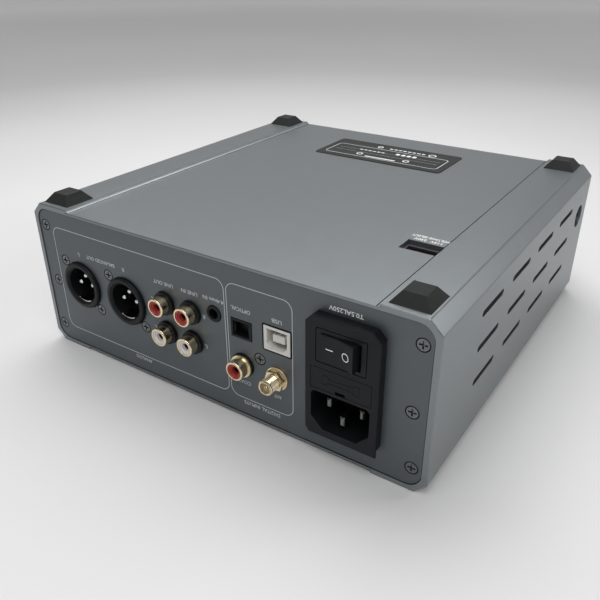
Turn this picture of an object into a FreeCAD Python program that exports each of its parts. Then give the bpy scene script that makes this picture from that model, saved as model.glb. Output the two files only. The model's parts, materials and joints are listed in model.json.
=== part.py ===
import FreeCAD, Part
import math
import os

# Desktop digital-to-analogue converter with headphone amplifier, in millimetres.
#
# The unit lies upside down on its top cover: +Z is up, the feet point up, the rear panel
# faces +Y and the front panel faces -Y. Everything is drawn about the middle of the case and
# then moved along Y, so that the origin is the middle of the footprint, sockets and knob
# included, on the table that the unit lies on.
# Rear and front features are placed by "u", which is -X, so that u grows to the right for
# somebody who looks at the rear panel of the upturned unit.

V = FreeCAD.Vector

# ---- driving dimensions -------------------------------------------------------------
WIDTH = 200.5               # case, side to side
DEPTH = 194.0               # case, front rim to rear rim
HEIGHT = 72.0               # case, without the feet
CHAMFER = 5.0               # long edges of the case
SIDE_WALL = 2.6
COVER_WALL = 2.4            # under the recessed middle of each cover
RECESS = 1.2                # depth of the recessed middle of each cover
RECESS_HALF = 77.5          # half its width: the raised rails lie outside it

PANEL_T = 3.0               # front and rear panels
PANEL_INSET = 0.4           # their faces lie this far inside the rim
PANEL_HALF = 97.5
PANEL_LOW = 2.5
PANEL_HIGH = 69.5
PANEL_CORNER = 6.0
PANEL_GAP = 0.3

FOOT_BASE = 15.2
FOOT_TOP = 8.4
FOOT_H = 4.2
FOOT_AT = 86.8              # feet centres, from both middle planes

SLOT_LEN = 22.8             # side ventilation slots
SLOT_W = 2.7
SLOT_Y = [-53.3, -19.1, 14.8, 48.7]
SLOT_Z = [27.4, 42.5, 57.5]

SCREW_R = 1.45              # M3 shanks, drawn without thread
HOLE_R = 1.55
HEAD_R = 2.25               # countersunk heads
SEAT_GAP = 0.4              # open ring between a head and the rim of its countersink
HEAD_H = 1.5
PANEL_SCREWS = [(93.6, 10.3), (92.0, 34.2), (93.6, 61.8)]

BOARD_LOW = 49.9            # component side of the circuit boards
BOARD_T = 1.6

XLR_Z = 36.4
XLR_U = [-73.8, -45.3]
XLR_COLLAR_R = 11.2
XLR_BORE_R = 8.3
XLR_PROUD = 1.8
XLR_PIN_R = 1.2
XLR_PIN_CIRCLE = 4.0
XLR_PIN_TIP = 1.2           # pin ends, behind the panel's face
XLR_SCREW = 10.0            # screws from the centre, along both directions

RCA_PITCH_U = 14.4
RCA_U = -14.5               # centre of the block of four
RCA_Z = 35.5
RCA_PITCH_Z = 14.1
RCA_SHELL_R = 4.15
RCA_WALL = 0.85
RCA_NECK_R = 3.8            # the part of a shell that sits in its body
RCA_SHOULDER = 1.6          # where the full radius starts, in front of the panel
RCA_TIP = 6.1               # shells stand this far out of the panel
RCA_RING_R = 5.2

COAX_U = 18.8
DIGITAL_Z = 26.6            # coaxial socket and aerial socket
ANTENNA_U = 35.6
ANTENNA_R = 3.17
ANTENNA_NECK_R = 2.9        # behind the thread, through the nut and the panel
ANTENNA_SHOULDER = 3.0
ANTENNA_TIP = 8.5

JACK44_U = 5.2
JACK44_Z = 45.8
JACK44_R = 2.25

OPTICAL = (13.8, 23.8, 38.8, 47.1)       # u low, u high, z low, z high
USB = (29.7, 41.9, 38.4, 48.8)
SPARE_SCREW = (27.4, 32.4)

POWER = (51.0, 81.0, 11.2, 62.8)
POWER_PROUD = 4.4
ROCKER_U = 65.9
ROCKER_Z = 51.4
ROCKER_TILT = 9.0           # degrees either side of level

SELECTOR = (60.9, 76.8, 40.6, 50.0)      # u low, u high, y low, y high

KNOB_U = 66.0
KNOB_R = 20.0
KNOB_OUT = 20.9             # knob face in front of the front panel
KNOB_GAP = 1.0
JACK635_U = -32.0
HEAD44_U = -8.0
XLR4_U = 18.0
TOGGLE_U = [-66.0, -50.0]
BUTTON_U = -84.0
CONTROL_Z = 36.0

# ---- derived ------------------------------------------------------------------------
HALF_W = WIDTH / 2
HALF_D = DEPTH / 2
REAR = HALF_D - PANEL_INSET              # outer face of the rear panel
REAR_IN = REAR - PANEL_T
FRONT = -REAR                            # outer face of the front panel
FRONT_IN = -REAR_IN
COVER_FACE = HEIGHT - RECESS             # recessed face of the underside
INNER_HIGH = COVER_FACE - COVER_WALL
INNER_LOW = RECESS + COVER_WALL
INNER_HALF = HALF_W - SIDE_WALL
BOARD_HIGH = BOARD_LOW + BOARD_T
POWER_FACE = REAR + POWER_PROUD
FOOTPRINT_SHIFT = (KNOB_OUT - ANTENNA_TIP) / 2


# ---- small helpers ------------------------------------------------------------------
def block(x0, x1, y0, y1, z0, z1):
    return Part.makeBox(x1 - x0, y1 - y0, z1 - z0, V(x0, y0, z0))


def ublock(u0, u1, y0, y1, z0, z1):
    return block(-u1, -u0, y0, y1, z0, z1)


def rod_y(u, z, r, y0, y1):
    return Part.makeCylinder(r, y1 - y0, V(-u, y0, z), V(0, 1, 0))


def rod_z(x, y, r, z0, z1):
    return Part.makeCylinder(r, z1 - z0, V(x, y, z0), V(0, 0, 1))


def rod_x(y, z, r, x0, x1):
    return Part.makeCylinder(r, x1 - x0, V(x0, y, z), V(1, 0, 0))


def cone_y(u, z, r0, r1, y0, y1):
    return Part.makeCone(r0, r1, y1 - y0, V(-u, y0, z), V(0, 1, 0))


def tube_y(u, z, r_out, r_in, y0, y1):
    return rod_y(u, z, r_out, y0, y1).cut(rod_y(u, z, r_in, y0 - 1, y1 + 1))


def prism_y(points, y0, y1):
    """Prism along Y from (u, z) corners."""
    corners = [V(-u, y0, z) for u, z in points]
    face = Part.Face(Part.makePolygon(corners + corners[:1]))
    return face.extrude(V(0, y1 - y0, 0))


def rounded_y(u0, u1, z0, z1, r, y0, y1):
    """Rounded rectangle in the (u, z) plane, extruded along Y."""
    body = ublock(u0, u1, y0, y1, z0, z1)
    edges = [e for e in body.Edges if abs(e.Length - (y1 - y0)) < 1e-6 and along(e, V(0, 1, 0))]
    return body.makeFillet(r, edges)


def along(edge, direction):
    a, b = edge.Vertexes[0].Point, edge.Vertexes[-1].Point
    return a.sub(b).Length > 1e-6 and abs(abs(a.sub(b).normalize().dot(direction)) - 1) < 1e-6


def edges_at_y(shape, y):
    return [e for e in shape.Edges if all(abs(v.Point.y - y) < 1e-6 for v in e.Vertexes)]


def cross_recess(centre, y_face, sense):
    """Two crossed slots, to be cut into a screw head that faces along sense * Y."""
    u, z = centre
    y0, y1 = sorted((y_face - sense * 0.9, y_face + sense * 0.5))
    flat = ublock(u - 1.6, u + 1.6, y0, y1, z - 0.35, z + 0.35)
    tall = ublock(u - 0.35, u + 0.35, y0, y1, z - 1.6, z + 1.6)
    return flat.fuse(tall)


def screw_y(centre, y_face, sense, length):
    """Countersunk cross-head screw whose head is flush with y_face."""
    u, z = centre
    y_neck = y_face - sense * HEAD_H
    y_end = y_face - sense * length
    if sense > 0:
        head = cone_y(u, z, SCREW_R, HEAD_R, y_neck, y_face)
        shank = rod_y(u, z, SCREW_R, y_end, y_neck)
    else:
        head = cone_y(u, z, HEAD_R, SCREW_R, y_face, y_neck)
        shank = rod_y(u, z, SCREW_R, y_neck, y_end)
    return head.fuse(shank).cut(cross_recess(centre, y_face, sense)).removeSplitter()


def screw_hole(centre, y_face, sense, depth):
    """Clearance for a countersunk screw, a little larger than the screw."""
    u, z = centre
    y_out = y_face + sense * 0.1
    y_neck = y_face - sense * HEAD_H
    y_end = y_face - sense * depth
    if sense > 0:
        seat = cone_y(u, z, HOLE_R, HEAD_R + SEAT_GAP, y_neck, y_out)
        bore = rod_y(u, z, HOLE_R, y_end, y_neck)
    else:
        seat = cone_y(u, z, HEAD_R + SEAT_GAP, HOLE_R, y_out, y_neck)
        bore = rod_y(u, z, HOLE_R, y_neck, y_end)
    return seat.fuse(bore)


def mirrored_screws():
    return [(side * u, z) for side in (-1, 1) for u, z in PANEL_SCREWS]


def fuse_all(shapes):
    result = shapes[0]
    for shape in shapes[1:]:
        result = result.fuse(shape)
    return result.removeSplitter()


NODES = {}


def node(name, shape):
    NODES[name] = shape


# ---- case ---------------------------------------------------------------------------
def case_profile():
    """Octagon with the middle of both covers set back between the rails."""
    w, h, c, r, m = HALF_W, HEIGHT, CHAMFER, RECESS, RECESS_HALF
    top = [(-w, h - c), (-w + c, h), (-m, h), (-m, h - r), (m, h - r), (m, h), (w - c, h), (w, h - c)]
    bottom = [(u, h - z) for u, z in reversed(top)]
    return top + bottom


def pill_x(y, z, length, width, x0, x1):
    """Slot with round ends that runs along Y and is cut along X."""
    half = length / 2 - width / 2
    ends = [rod_x(y + s * half, z, width / 2, x0, x1) for s in (-1, 1)]
    return fuse_all([block(x0, x1, y - half, y + half, z - width / 2, z + width / 2)] + ends)


PORT_Y = -82.4
PORT_Z = 49.0
PORT_LEN = 12.2
PORT_W = 11.6


def make_case_blank():
    """Solid profile with softened long edges and a fine bevel round both rims."""
    blank = prism_y(case_profile(), -HALF_D, HALF_D)
    long_edges = [e for e in blank.Edges if along(e, V(0, 1, 0)) and abs(e.BoundBox.XMin) > RECESS_HALF + 5]
    blank = blank.makeFillet(1.0, long_edges)
    for y in (-HALF_D, HALF_D):
        blank = blank.makeChamfer(0.35, edges_at_y(blank, y))
    return blank


def make_case():
    case = make_case_blank()
    inner = rounded_y(-INNER_HALF, INNER_HALF, INNER_LOW, INNER_HIGH, 5.0, -HALF_D - 1, HALF_D + 1)
    g = PANEL_GAP
    for y0, y1 in ((REAR_IN, HALF_D + 1), (-HALF_D - 1, FRONT_IN)):
        mouth = rounded_y(-PANEL_HALF - g, PANEL_HALF + g, PANEL_LOW - g, PANEL_HIGH + g,
                          PANEL_CORNER + g, y0, y1)
        case = case.cut(mouth)
    case = case.cut(inner)
    for u, z in mirrored_screws():
        side = math.copysign(1, u)
        wall = side * INNER_HALF
        web = ublock(min(u, wall), max(u, wall), FRONT_IN, REAR_IN, z - 3.1, z + 3.1)
        if z > 50:
            web = web.common(block(-HALF_W, HALF_W, FRONT_IN, REAR_IN, 58.9, z + 3.1))
        boss = rod_y(u, z, 3.1, FRONT_IN, REAR_IN)
        if z > 50:
            boss = boss.common(block(-HALF_W, HALF_W, FRONT_IN, REAR_IN, 58.9, z + 3.1))
        case = case.fuse(web.fuse(boss))
    case = case.removeSplitter()
    for centre in mirrored_screws():
        case = case.cut(rod_y(centre[0], centre[1], HOLE_R, FRONT_IN - 1, REAR_IN + 1))
    for side in (-1, 1):
        x0, x1 = sorted((side * (INNER_HALF - 0.4), side * (HALF_W + 1)))
        for y in SLOT_Y:
            for z in SLOT_Z:
                case = case.cut(pill_x(y, z, SLOT_LEN, SLOT_W, x0, x1))
    case = case.cut(pill_x(PORT_Y, PORT_Z, PORT_LEN, PORT_W, -HALF_W - 1, -INNER_HALF + 1))
    u0, u1, y0, y1 = SELECTOR
    case = case.cut(ublock(u0, u1, y0, y1, INNER_HIGH - 1, HEIGHT + 1))
    return case


def make_panel(sense):
    """Flat panel with rounded corners and six countersunk holes."""
    y0, y1 = sorted((sense * REAR_IN, sense * REAR))
    panel = rounded_y(-PANEL_HALF, PANEL_HALF, PANEL_LOW, PANEL_HIGH, PANEL_CORNER, y0, y1)
    for centre in mirrored_screws():
        panel = panel.cut(screw_hole(centre, sense * REAR, sense, PANEL_T + 1))
    return panel


def rca_centres():
    """The four phono centres: line out then line in, low row (white) then high row (red)."""
    du, dz = RCA_PITCH_U / 2, RCA_PITCH_Z / 2
    return {(col, row): (RCA_U + col * du, RCA_Z + row * dz) for col in (-1, 1) for row in (-1, 1)}


def connector_screw_centres():
    s = XLR_SCREW
    corners = [(u - s, XLR_Z + s) for u in XLR_U] + [(u + s, XLR_Z - s) for u in XLR_U]
    return corners + [SPARE_SCREW]


def make_rear_panel():
    panel = make_panel(1)
    y0, y1 = REAR_IN - 1, REAR + 1
    for u in XLR_U:
        panel = panel.cut(rod_y(u, XLR_Z, XLR_COLLAR_R + 0.2, y0, y1))
    for u, z in rca_centres().values():
        panel = panel.cut(rod_y(u, z, RCA_RING_R + 0.15, y0, y1))
    panel = panel.cut(rod_y(COAX_U, DIGITAL_Z, RCA_RING_R + 0.15, y0, y1))
    panel = panel.cut(rod_y(ANTENNA_U, DIGITAL_Z, ANTENNA_R + 0.1, y0, y1))
    panel = panel.cut(rod_y(JACK44_U, JACK44_Z, 3.75, y0, y1))
    for (u0, u1, z0, z1), gap in ((OPTICAL, 0.15), (USB, 0.5)):
        panel = panel.cut(ublock(u0 - gap, u1 + gap, y0, y1, z0 - gap, z1 + gap))
    u0, u1, z0, z1 = POWER
    panel = panel.cut(ublock(u0 + 1.5, u1 - 1.5, y0, y1, z0 + 1.5, z1 - 1.5))
    for centre in connector_screw_centres():
        panel = panel.cut(screw_hole(centre, REAR, 1, PANEL_T + 1))
    return panel


def make_front_panel():
    panel = make_panel(-1)
    y0, y1 = FRONT - 1, FRONT_IN + 1
    z = CONTROL_Z
    panel = panel.cut(rod_y(KNOB_U, z, 3.6, y0, y1))
    panel = panel.cut(rod_y(KNOB_U, z, KNOB_R + 2.6, FRONT - 1, FRONT + 1.0))
    panel = panel.cut(rod_y(JACK635_U, z, 6.1, y0, y1))
    panel = panel.cut(rod_y(HEAD44_U, z, 5.1, y0, y1))
    panel = panel.cut(rod_y(XLR4_U, z, 11.4, y0, y1))
    for u in TOGGLE_U:
        panel = panel.cut(rod_y(u, z, 3.1, y0, y1))
    panel = panel.cut(rod_y(BUTTON_U, z, 4.15, y0, y1))
    panel = panel.cut(ublock(BUTTON_U - 5.1, BUTTON_U + 5.1, y0, y1, z - 11.1, z - 8.9))
    for centre in xlr4_screws():
        panel = panel.cut(screw_hole(centre, FRONT, -1, PANEL_T + 1))
    return panel


def make_foot(sx, sy):
    """Truncated rubber pyramid with softened edges, standing on the underside rail."""
    b, t = FOOT_BASE / 2, FOOT_TOP / 2

    def square(half, z):
        cx, cy = sx * FOOT_AT, sy * FOOT_AT
        pts = [V(cx + i * half, cy + j * half, z) for i, j in ((-1, -1), (1, -1), (1, 1), (-1, 1))]
        return Part.makePolygon(pts + pts[:1])

    foot = Part.makeLoft([square(b, HEIGHT), square(t, HEIGHT + FOOT_H)], True, True)
    soft = [e for e in foot.Edges if e.BoundBox.ZMax > HEIGHT + 0.1]
    return foot.makeFillet(0.5, soft)


# ---- rear connectors ----------------------------------------------------------------
def make_xlr_housing(u):
    """Three-pole male socket: a proud round collar over a body behind the panel."""
    face = REAR + XLR_PROUD
    collar = rod_y(u, XLR_Z, XLR_COLLAR_R, 82.0, face)
    collar = collar.makeFillet(0.9, [e for e in edges_at_y(collar, face)])
    plate = rounded_y(u - 13, u + 13, XLR_Z - 13, XLR_Z + 13, 2.0, REAR_IN - 2.1, REAR_IN - 0.1)
    back = ublock(u - 10.5, u + 10.5, 74.0, REAR_IN - 2.1, XLR_Z - 11.0, BOARD_LOW - 0.1)
    body = fuse_all([collar, plate, back])
    bore = rod_y(u, XLR_Z, XLR_BORE_R, 84.0, face + 1)
    flare = cone_y(u, XLR_Z, XLR_BORE_R, XLR_BORE_R + 1.0, face - 1.0, face + 0.01)
    body = body.cut(bore).cut(flare)
    for du, dz in ((-XLR_SCREW, XLR_SCREW), (XLR_SCREW, -XLR_SCREW)):
        body = body.cut(rod_y(u + du, XLR_Z + dz, HOLE_R, 88.0, REAR_IN + 1))
    for du, dz in xlr_pin_offsets():
        body = body.cut(rod_y(u + du, XLR_Z + dz, XLR_PIN_R + 0.02, 78.0, 84.5))
    return body


def xlr_pin_offsets():
    r = XLR_PIN_CIRCLE
    return [(-r, 0), (r, 0), (0, r)]


def make_xlr_contacts():
    """Three round pins and one curved shell strip for each male socket."""
    parts = []
    for u in XLR_U:
        for du, dz in xlr_pin_offsets():
            pin = rod_y(u + du, XLR_Z + dz, XLR_PIN_R, 78.0, REAR - XLR_PIN_TIP)
            parts.append(pin.makeFillet(1.1, edges_at_y(pin, REAR - XLR_PIN_TIP)))
        strip = tube_y(u, XLR_Z, XLR_BORE_R - 0.05, XLR_BORE_R - 0.45, 85.0, REAR + 0.6)
        parts.append(strip.common(ublock(u - 4, u + 4, 80, 100, XLR_Z - 9, XLR_Z - 5)))
    return Part.makeCompound(parts)


def make_connector_screws():
    """The same short screw everywhere: five in the rear panel, two at the front four-pole socket."""
    rear = [screw_y(c, REAR, 1, 8.0) for c in connector_screw_centres()]
    front = [screw_y(c, FRONT, -1, 8.0) for c in xlr4_screws()]
    return Part.makeCompound(rear + front)


RCA_BACK = 80.0
RCA_SEAT = 86.0             # shells and insulators start here, inside the black bodies
LEG_Y0 = 75.5               # legs of the lower sockets pass behind the upper ones
LEG_Y1 = 79.5


def rca_ring(u, z, proud):
    return rod_y(u, z, RCA_RING_R, REAR_IN - 0.1, REAR + proud)


def make_rca_block():
    centres = list(rca_centres().values())
    u0 = RCA_U - 14.3
    u1 = RCA_U + 14.3
    body = ublock(u0, u1, RCA_BACK, REAR_IN - 0.1, RCA_Z - 14.3, BOARD_LOW - 0.1)
    body = fuse_all([body] + [rca_ring(u, z, 1.5) for u, z in centres])
    for u, z in centres:
        body = body.cut(rod_y(u, z, RCA_NECK_R + 0.03, RCA_SEAT, REAR + 5))
    return body


def rca_shell(u, z, flange):
    """Gilded tube with a soft lip at the mouth, with a flange at the panel if asked."""
    tip = REAR + RCA_TIP
    shoulder = REAR + RCA_SHOULDER
    shell = rod_y(u, z, RCA_SHELL_R, shoulder, tip)
    shell = shell.makeFillet(0.45, edges_at_y(shell, tip))
    shell = shell.fuse(rod_y(u, z, RCA_NECK_R, RCA_SEAT, shoulder))
    if flange:
        shell = shell.fuse(rod_y(u, z, 4.9, REAR + 0.85, REAR + 1.7)).removeSplitter()
    shell = shell.cut(rod_y(u, z, RCA_SHELL_R - RCA_WALL, RCA_SEAT - 1, tip + 1))
    return shell


def rca_insulator(u, z):
    """Coloured sleeve with a dished mouth and the centre contact's hole."""
    tip = REAR + RCA_TIP - 0.8
    sleeve = rod_y(u, z, RCA_SHELL_R - RCA_WALL - 0.05, RCA_SEAT, tip)
    sleeve = sleeve.cut(cone_y(u, z, 1.65, 2.5, tip - 1.2, tip + 0.01))
    return sleeve.cut(rod_y(u, z, 1.65, RCA_SEAT + 1.5, tip + 1))


def make_coax_body():
    u, z = COAX_U, DIGITAL_Z
    body = ublock(u - 6.5, u + 6.5, LEG_Y0, REAR_IN - 0.1, z - 6.5, z + 6.5)
    legs = ublock(u - 5.0, u + 5.0, LEG_Y0, LEG_Y1, z + 6.5, BOARD_LOW - 0.1)
    body = fuse_all([body, legs, rca_ring(u, z, 0.8)])
    return body.cut(rod_y(u, z, RCA_NECK_R + 0.03, RCA_SEAT, REAR + 5))


def make_balanced_in_jack():
    u, z = JACK44_U, JACK44_Z
    body = ublock(u - 4.9, u + 4.9, 72.0, REAR_IN - 0.1, z - 4.9, BOARD_LOW - 0.1)
    nose = rod_y(u, z, 3.6, REAR_IN - 0.1, REAR + 0.5)
    nose = nose.makeFillet(0.3, edges_at_y(nose, REAR + 0.5))
    body = fuse_all([body, nose])
    return body.cut(rod_y(u, z, JACK44_R, 74.0, REAR + 2))


OPT_CAVITY = (14.8, 22.8, 39.8, 46.2)    # u low, u high, z low, z high
OPT_FLAP_Y = REAR_IN - 0.8
OPT_AXIS_Z = OPT_CAVITY[3] - 0.7


def make_optical_receiver():
    u0, u1, z0, z1 = OPTICAL
    c0, c1, d0, d1 = OPT_CAVITY
    nose = ublock(u0, u1, 86.0, REAR + 0.3, z0, z1)
    back = ublock(u0, u1, 80.0, REAR_IN - 0.1, z0, BOARD_LOW - 0.1)
    body = fuse_all([nose, back])
    body = body.cut(ublock(c0, c1, 86.0, REAR + 1, d0, d1))
    pivot = rod_x(OPT_FLAP_Y, OPT_AXIS_Z, 0.42, -c1 - 0.5, -c0 + 0.5)
    return body.cut(pivot)


def make_optical_shutter():
    """Dust flap with two stub pins, hung behind the mouth and swinging inward."""
    c0, c1, d0, d1 = OPT_CAVITY
    flap = ublock(c0 + 0.2, c1 - 0.2, OPT_FLAP_Y - 0.35, OPT_FLAP_Y + 0.35, d0 + 0.25, OPT_AXIS_Z)
    axle = rod_x(OPT_FLAP_Y, OPT_AXIS_Z, 0.35, -c1 + 0.2, -c0 - 0.2)
    pins = rod_x(OPT_FLAP_Y, OPT_AXIS_Z, 0.35, -c1 - 0.4, -c0 + 0.4)
    return fuse_all([flap, axle, pins])


USB_CAVITY = (31.2, 40.4, 39.3, 47.7)


def make_usb_socket():
    u0, u1, z0, z1 = USB
    c0, c1, d0, d1 = USB_CAVITY
    nose = ublock(u0, u1, 84.0, REAR + 0.3, z0, z1)
    back = ublock(u0, u1, 80.0, REAR_IN - 0.1, z0, BOARD_LOW - 0.1)
    cut = 2.0
    mouth = [(c0, d1), (c1, d1), (c1, d0 + cut), (c1 - cut, d0), (c0 + cut, d0), (c0, d0 + cut)]
    return fuse_all([nose, back]).cut(prism_y(mouth, 86.0, REAR + 1))


def make_usb_tongue():
    u = (USB_CAVITY[0] + USB_CAVITY[1]) / 2
    tongue = rounded_y(u - 2.9, u + 2.9, 41.9, 45.3, 0.5, 86.0, REAR - 1.0)
    return tongue.makeFillet(0.4, edges_at_y(tongue, REAR - 1.0))


def make_antenna_socket():
    """Threaded barrel with a body behind the panel and a contact down the middle."""
    u, z = ANTENNA_U, DIGITAL_Z
    tip = REAR + ANTENNA_TIP
    barrel = rod_y(u, z, ANTENNA_R, REAR + ANTENNA_SHOULDER, tip)
    barrel = barrel.makeChamfer(0.3, edges_at_y(barrel, tip))
    neck = rod_y(u, z, ANTENNA_NECK_R, REAR_IN - 0.1, REAR + ANTENNA_SHOULDER)
    flange = ublock(u - 4.2, u + 4.2, REAR_IN - 3.0, REAR_IN - 0.1, z - 4.2, z + 4.2)
    stalk = rod_y(u, z, 2.4, LEG_Y0, REAR_IN - 3.0)
    legs = ublock(u - 3.0, u + 3.0, LEG_Y0, LEG_Y1, z + 1.0, BOARD_LOW - 0.1)
    body = fuse_all([barrel, neck, flange, stalk, legs])
    body = body.cut(rod_y(u, z, 2.3, tip - 2.6, tip + 1))
    core = tube_y(u, z, 0.65, 0.35, tip - 2.7, tip - 0.7)
    return body.fuse(core).removeSplitter()


def hexagon_y(u, z, flats, y0, y1):
    r = flats / math.sqrt(3)
    pts = [(u + r * math.cos(math.radians(60 * i + 12)), z + r * math.sin(math.radians(60 * i + 12)))
           for i in range(6)]
    return prism_y(pts, y0, y1)


def make_antenna_nut():
    u, z = ANTENNA_U, DIGITAL_Z
    nut = hexagon_y(u, z, 8.0, REAR + 0.75, REAR + 2.9)
    return nut.cut(rod_y(u, z, ANTENNA_NECK_R + 0.03, REAR, REAR + 4))


def make_antenna_washer():
    return tube_y(ANTENNA_U, DIGITAL_Z, 5.0, ANTENNA_R + 0.05, REAR + 0.02, REAR + 0.72)


# ---- power inlet module -------------------------------------------------------------
BEZEL = (55.6, 76.2, 44.4, 58.6)
ROCKER_HALF_U = 7.1
ROCKER_HALF_Z = 5.2
ROCKER_AXIS_Y = POWER_FACE - 2.6
DRAWER = (53.6, 78.4, 33.0, 42.0)
DRAWER_DEEP = 20.0
DRAWER_TRAVEL = 14.0
INLET = (53.8, 78.2, 14.9, 31.6)
INLET_DEEP = 17.0
INLET_CUT = 5.0             # cut corners at the low side of the inlet
INLET_NICK = 1.3            # and small ones at its high side
PIN_PITCH = 7.0
PIN_Z = 24.6
EARTH_DROP = 4.6


def inlet_points(grow):
    u0, u1, z0, z1 = INLET
    g, c = grow, INLET_CUT
    t = INLET_NICK
    return [(u0 - g, z1 - t), (u0 + t, z1 + g), (u1 - t, z1 + g), (u1 + g, z1 - t),
            (u1 + g, z0 + c), (u1 - c, z0 - g), (u0 + c, z0 - g), (u0 - g, z0 + c)]


def make_power_module():
    u0, u1, z0, z1 = POWER
    c = 3.2
    outline = [(u0, z0 + c), (u0, z1 - c), (u0 + c, z1), (u1 - c, z1), (u1, z1 - c), (u1, z0 + c),
               (u1 - c, z0), (u0 + c, z0)]
    front = [(u0, z0 + 2.4), (u0, z1 - c), (u0 + c, z1), (u1 - c, z1), (u1, z1 - c), (u1, z0), (u0 + 1.6, z0)]
    plate = prism_y(front, POWER_FACE - 1.2, POWER_FACE)
    plate = plate.makeChamfer(0.5, edges_at_y(plate, POWER_FACE))
    flange = prism_y(outline, REAR + 0.05, POWER_FACE - 1.2).fuse(plate)
    body = ublock(u0 + 1.7, u1 - 1.7, 68.0, REAR + 0.05, z0 + 1.7, z1 - 1.7)
    body = fuse_all([flange, body])
    b0, b1, e0, e1 = BEZEL
    ring = rounded_y(b0, b1, e0, e1, 0.8, POWER_FACE - 0.5, POWER_FACE + 1)
    ring = ring.cut(rounded_y(b0 + 0.35, b1 - 0.35, e0 + 0.35, e1 - 0.35, 0.6, POWER_FACE - 1,
                              POWER_FACE + 2))
    body = body.cut(ring)
    w, h = ROCKER_HALF_U + 0.9, ROCKER_HALF_Z + 0.25
    body = body.cut(ublock(ROCKER_U - w, ROCKER_U + w, POWER_FACE - 9.5, POWER_FACE + 1,
                           ROCKER_Z - h, ROCKER_Z + h))
    body = body.cut(Part.makeCylinder(0.9, 2 * h + 2.4, V(-ROCKER_U, ROCKER_AXIS_Y, ROCKER_Z - h - 1.2),
                                      V(0, 0, 1)))
    d0, d1, f0, f1 = DRAWER
    body = body.cut(ublock(d0 - 0.15, d1 + 0.15, POWER_FACE - DRAWER_DEEP - 0.5, POWER_FACE + 1,
                           f0 - 0.15, f1 + 0.15))
    body = body.cut(prism_y(inlet_points(0), POWER_FACE - INLET_DEEP, POWER_FACE + 1))
    for du, dz, extra in inlet_pin_list():
        body = body.cut(inlet_pin(du, dz, POWER_FACE - INLET_DEEP + 0.1, 0.02))
    return body


def inlet_pin_list():
    return [(-PIN_PITCH, 0, 0), (PIN_PITCH, 0, 0), (0, -EARTH_DROP, 2.0)]


def inlet_pin(du, dz, y_tip, grow):
    u = ROCKER_U + du
    z = PIN_Z + dz
    return ublock(u - 1.0 - grow, u + 1.0 + grow, 62.0, y_tip, z - 2.0 - grow, z + 2.0 + grow)


def make_inlet_pins():
    parts = []
    for du, dz, extra in inlet_pin_list():
        tip = POWER_FACE - 4.0 + extra
        pin = inlet_pin(du, dz, tip, 0)
        parts.append(pin.makeChamfer(0.65, edges_at_y(pin, tip)))
    return Part.makeCompound(parts)


def make_rocker():
    """See-saw switch cap: two gently sloping halves, drawn level and then tipped to one side."""
    u, z, a = ROCKER_U, ROCKER_Z, ROCKER_HALF_U
    w = ROCKER_HALF_Z
    y = ROCKER_AXIS_Y
    outline = [(-a, 4.6), (0, 3.5), (a, 4.6), (a, -1.2), (3.0, -5.4), (-3.0, -5.4), (-a, -1.2)]
    corners = [V(-(u + du), y + dy, z - w) for du, dy in outline]
    cap = Part.Face(Part.makePolygon(corners + corners[:1])).extrude(V(0, 0, 2 * w))
    edges = [e for e in cap.Edges if e.BoundBox.YMin > y + 3.2 and not along(e, V(0, 0, 1))]
    cap = cap.makeFillet(0.4, edges)
    axle = Part.makeCylinder(0.85, 2 * w + 2.4, V(-u, y, z - w - 1.2), V(0, 0, 1))
    cap = cap.fuse(axle).removeSplitter()
    cap.rotate(V(-u, y, z), V(0, 0, 1), -ROCKER_TILT)
    return cap


def make_fuse_drawer():
    """Slide-out tray with a flat face, a finger notch and two fuse troughs."""
    d0, d1, f0, f1 = DRAWER
    tray = ublock(d0, d1, POWER_FACE - DRAWER_DEEP, POWER_FACE, f0, f1)
    u = (d0 + d1) / 2
    notch = ublock(u - 2.0, u + 2.0, POWER_FACE - 1.6, POWER_FACE + 1, f0 - 1, f0 + 1.2)
    tray = tray.cut(notch)
    for y in fuse_rows():
        tray = tray.cut(rod_x(y, f0 + 3.4, 2.75, -d1 + 1.5, -d0 - 1.5))
        tray = tray.cut(ublock(d0 + 1.5, d1 - 1.5, y - 2.75, y + 2.75, f0 + 3.4, f1 + 1))
    return tray


def fuse_rows():
    return [POWER_FACE - 6.5, POWER_FACE - 14.0]


def make_fuses():
    """A working cartridge fuse and a spare."""
    u = (DRAWER[0] + DRAWER[1]) / 2
    z = DRAWER[2] + 3.4
    return Part.makeCompound([rod_x(y, z, 2.6, -u - 10, -u + 10) for y in fuse_rows()])


# ---- voltage selector on the underside ----------------------------------------------
SEL_TOP = COVER_FACE - 1.7
SEL_SLOT = (62.2, 75.2, 42.8, 48.8)
SEL_TRAVEL = 3.0


def make_selector():
    u0, u1, y0, y1 = SELECTOR
    s0, s1, t0, t1 = SEL_SLOT
    face = ublock(u0 + 0.15, u1 - 0.15, y0 + 0.15, y1 - 0.15, INNER_HIGH - 0.1, SEL_TOP)
    body = ublock(u0 - 2.5, u1 + 2.5, y0 - 2.0, y1 + 2.0, 61.0, INNER_HIGH - 0.1)
    body = fuse_all([face, body])
    body = body.cut(ublock(s0, s1, t0, t1, SEL_TOP - 1.2, SEL_TOP + 1))
    well = ublock(s0 - 1.6, s1 + 1.6, t0 - 0.5, t1 + 0.5, SEL_TOP - 4.4, SEL_TOP - 1.1)
    return body.cut(well)


def make_selector_slider():
    """Coloured plate under the window, with a driver slot across it."""
    s0, s1, t0, t1 = SEL_SLOT
    top = SEL_TOP - 1.4
    plate = ublock(s0 - 1.4, s1 + 1.4 - SEL_TRAVEL, t0 - 0.2, t1 + 0.2, top - 2.6, top)
    middle = (s0 + s1) / 2 - SEL_TRAVEL / 2
    return plate.cut(ublock(middle - 0.6, middle + 0.6, t0 + 0.8, t1 - 0.8, top - 0.9, top + 1))


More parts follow.
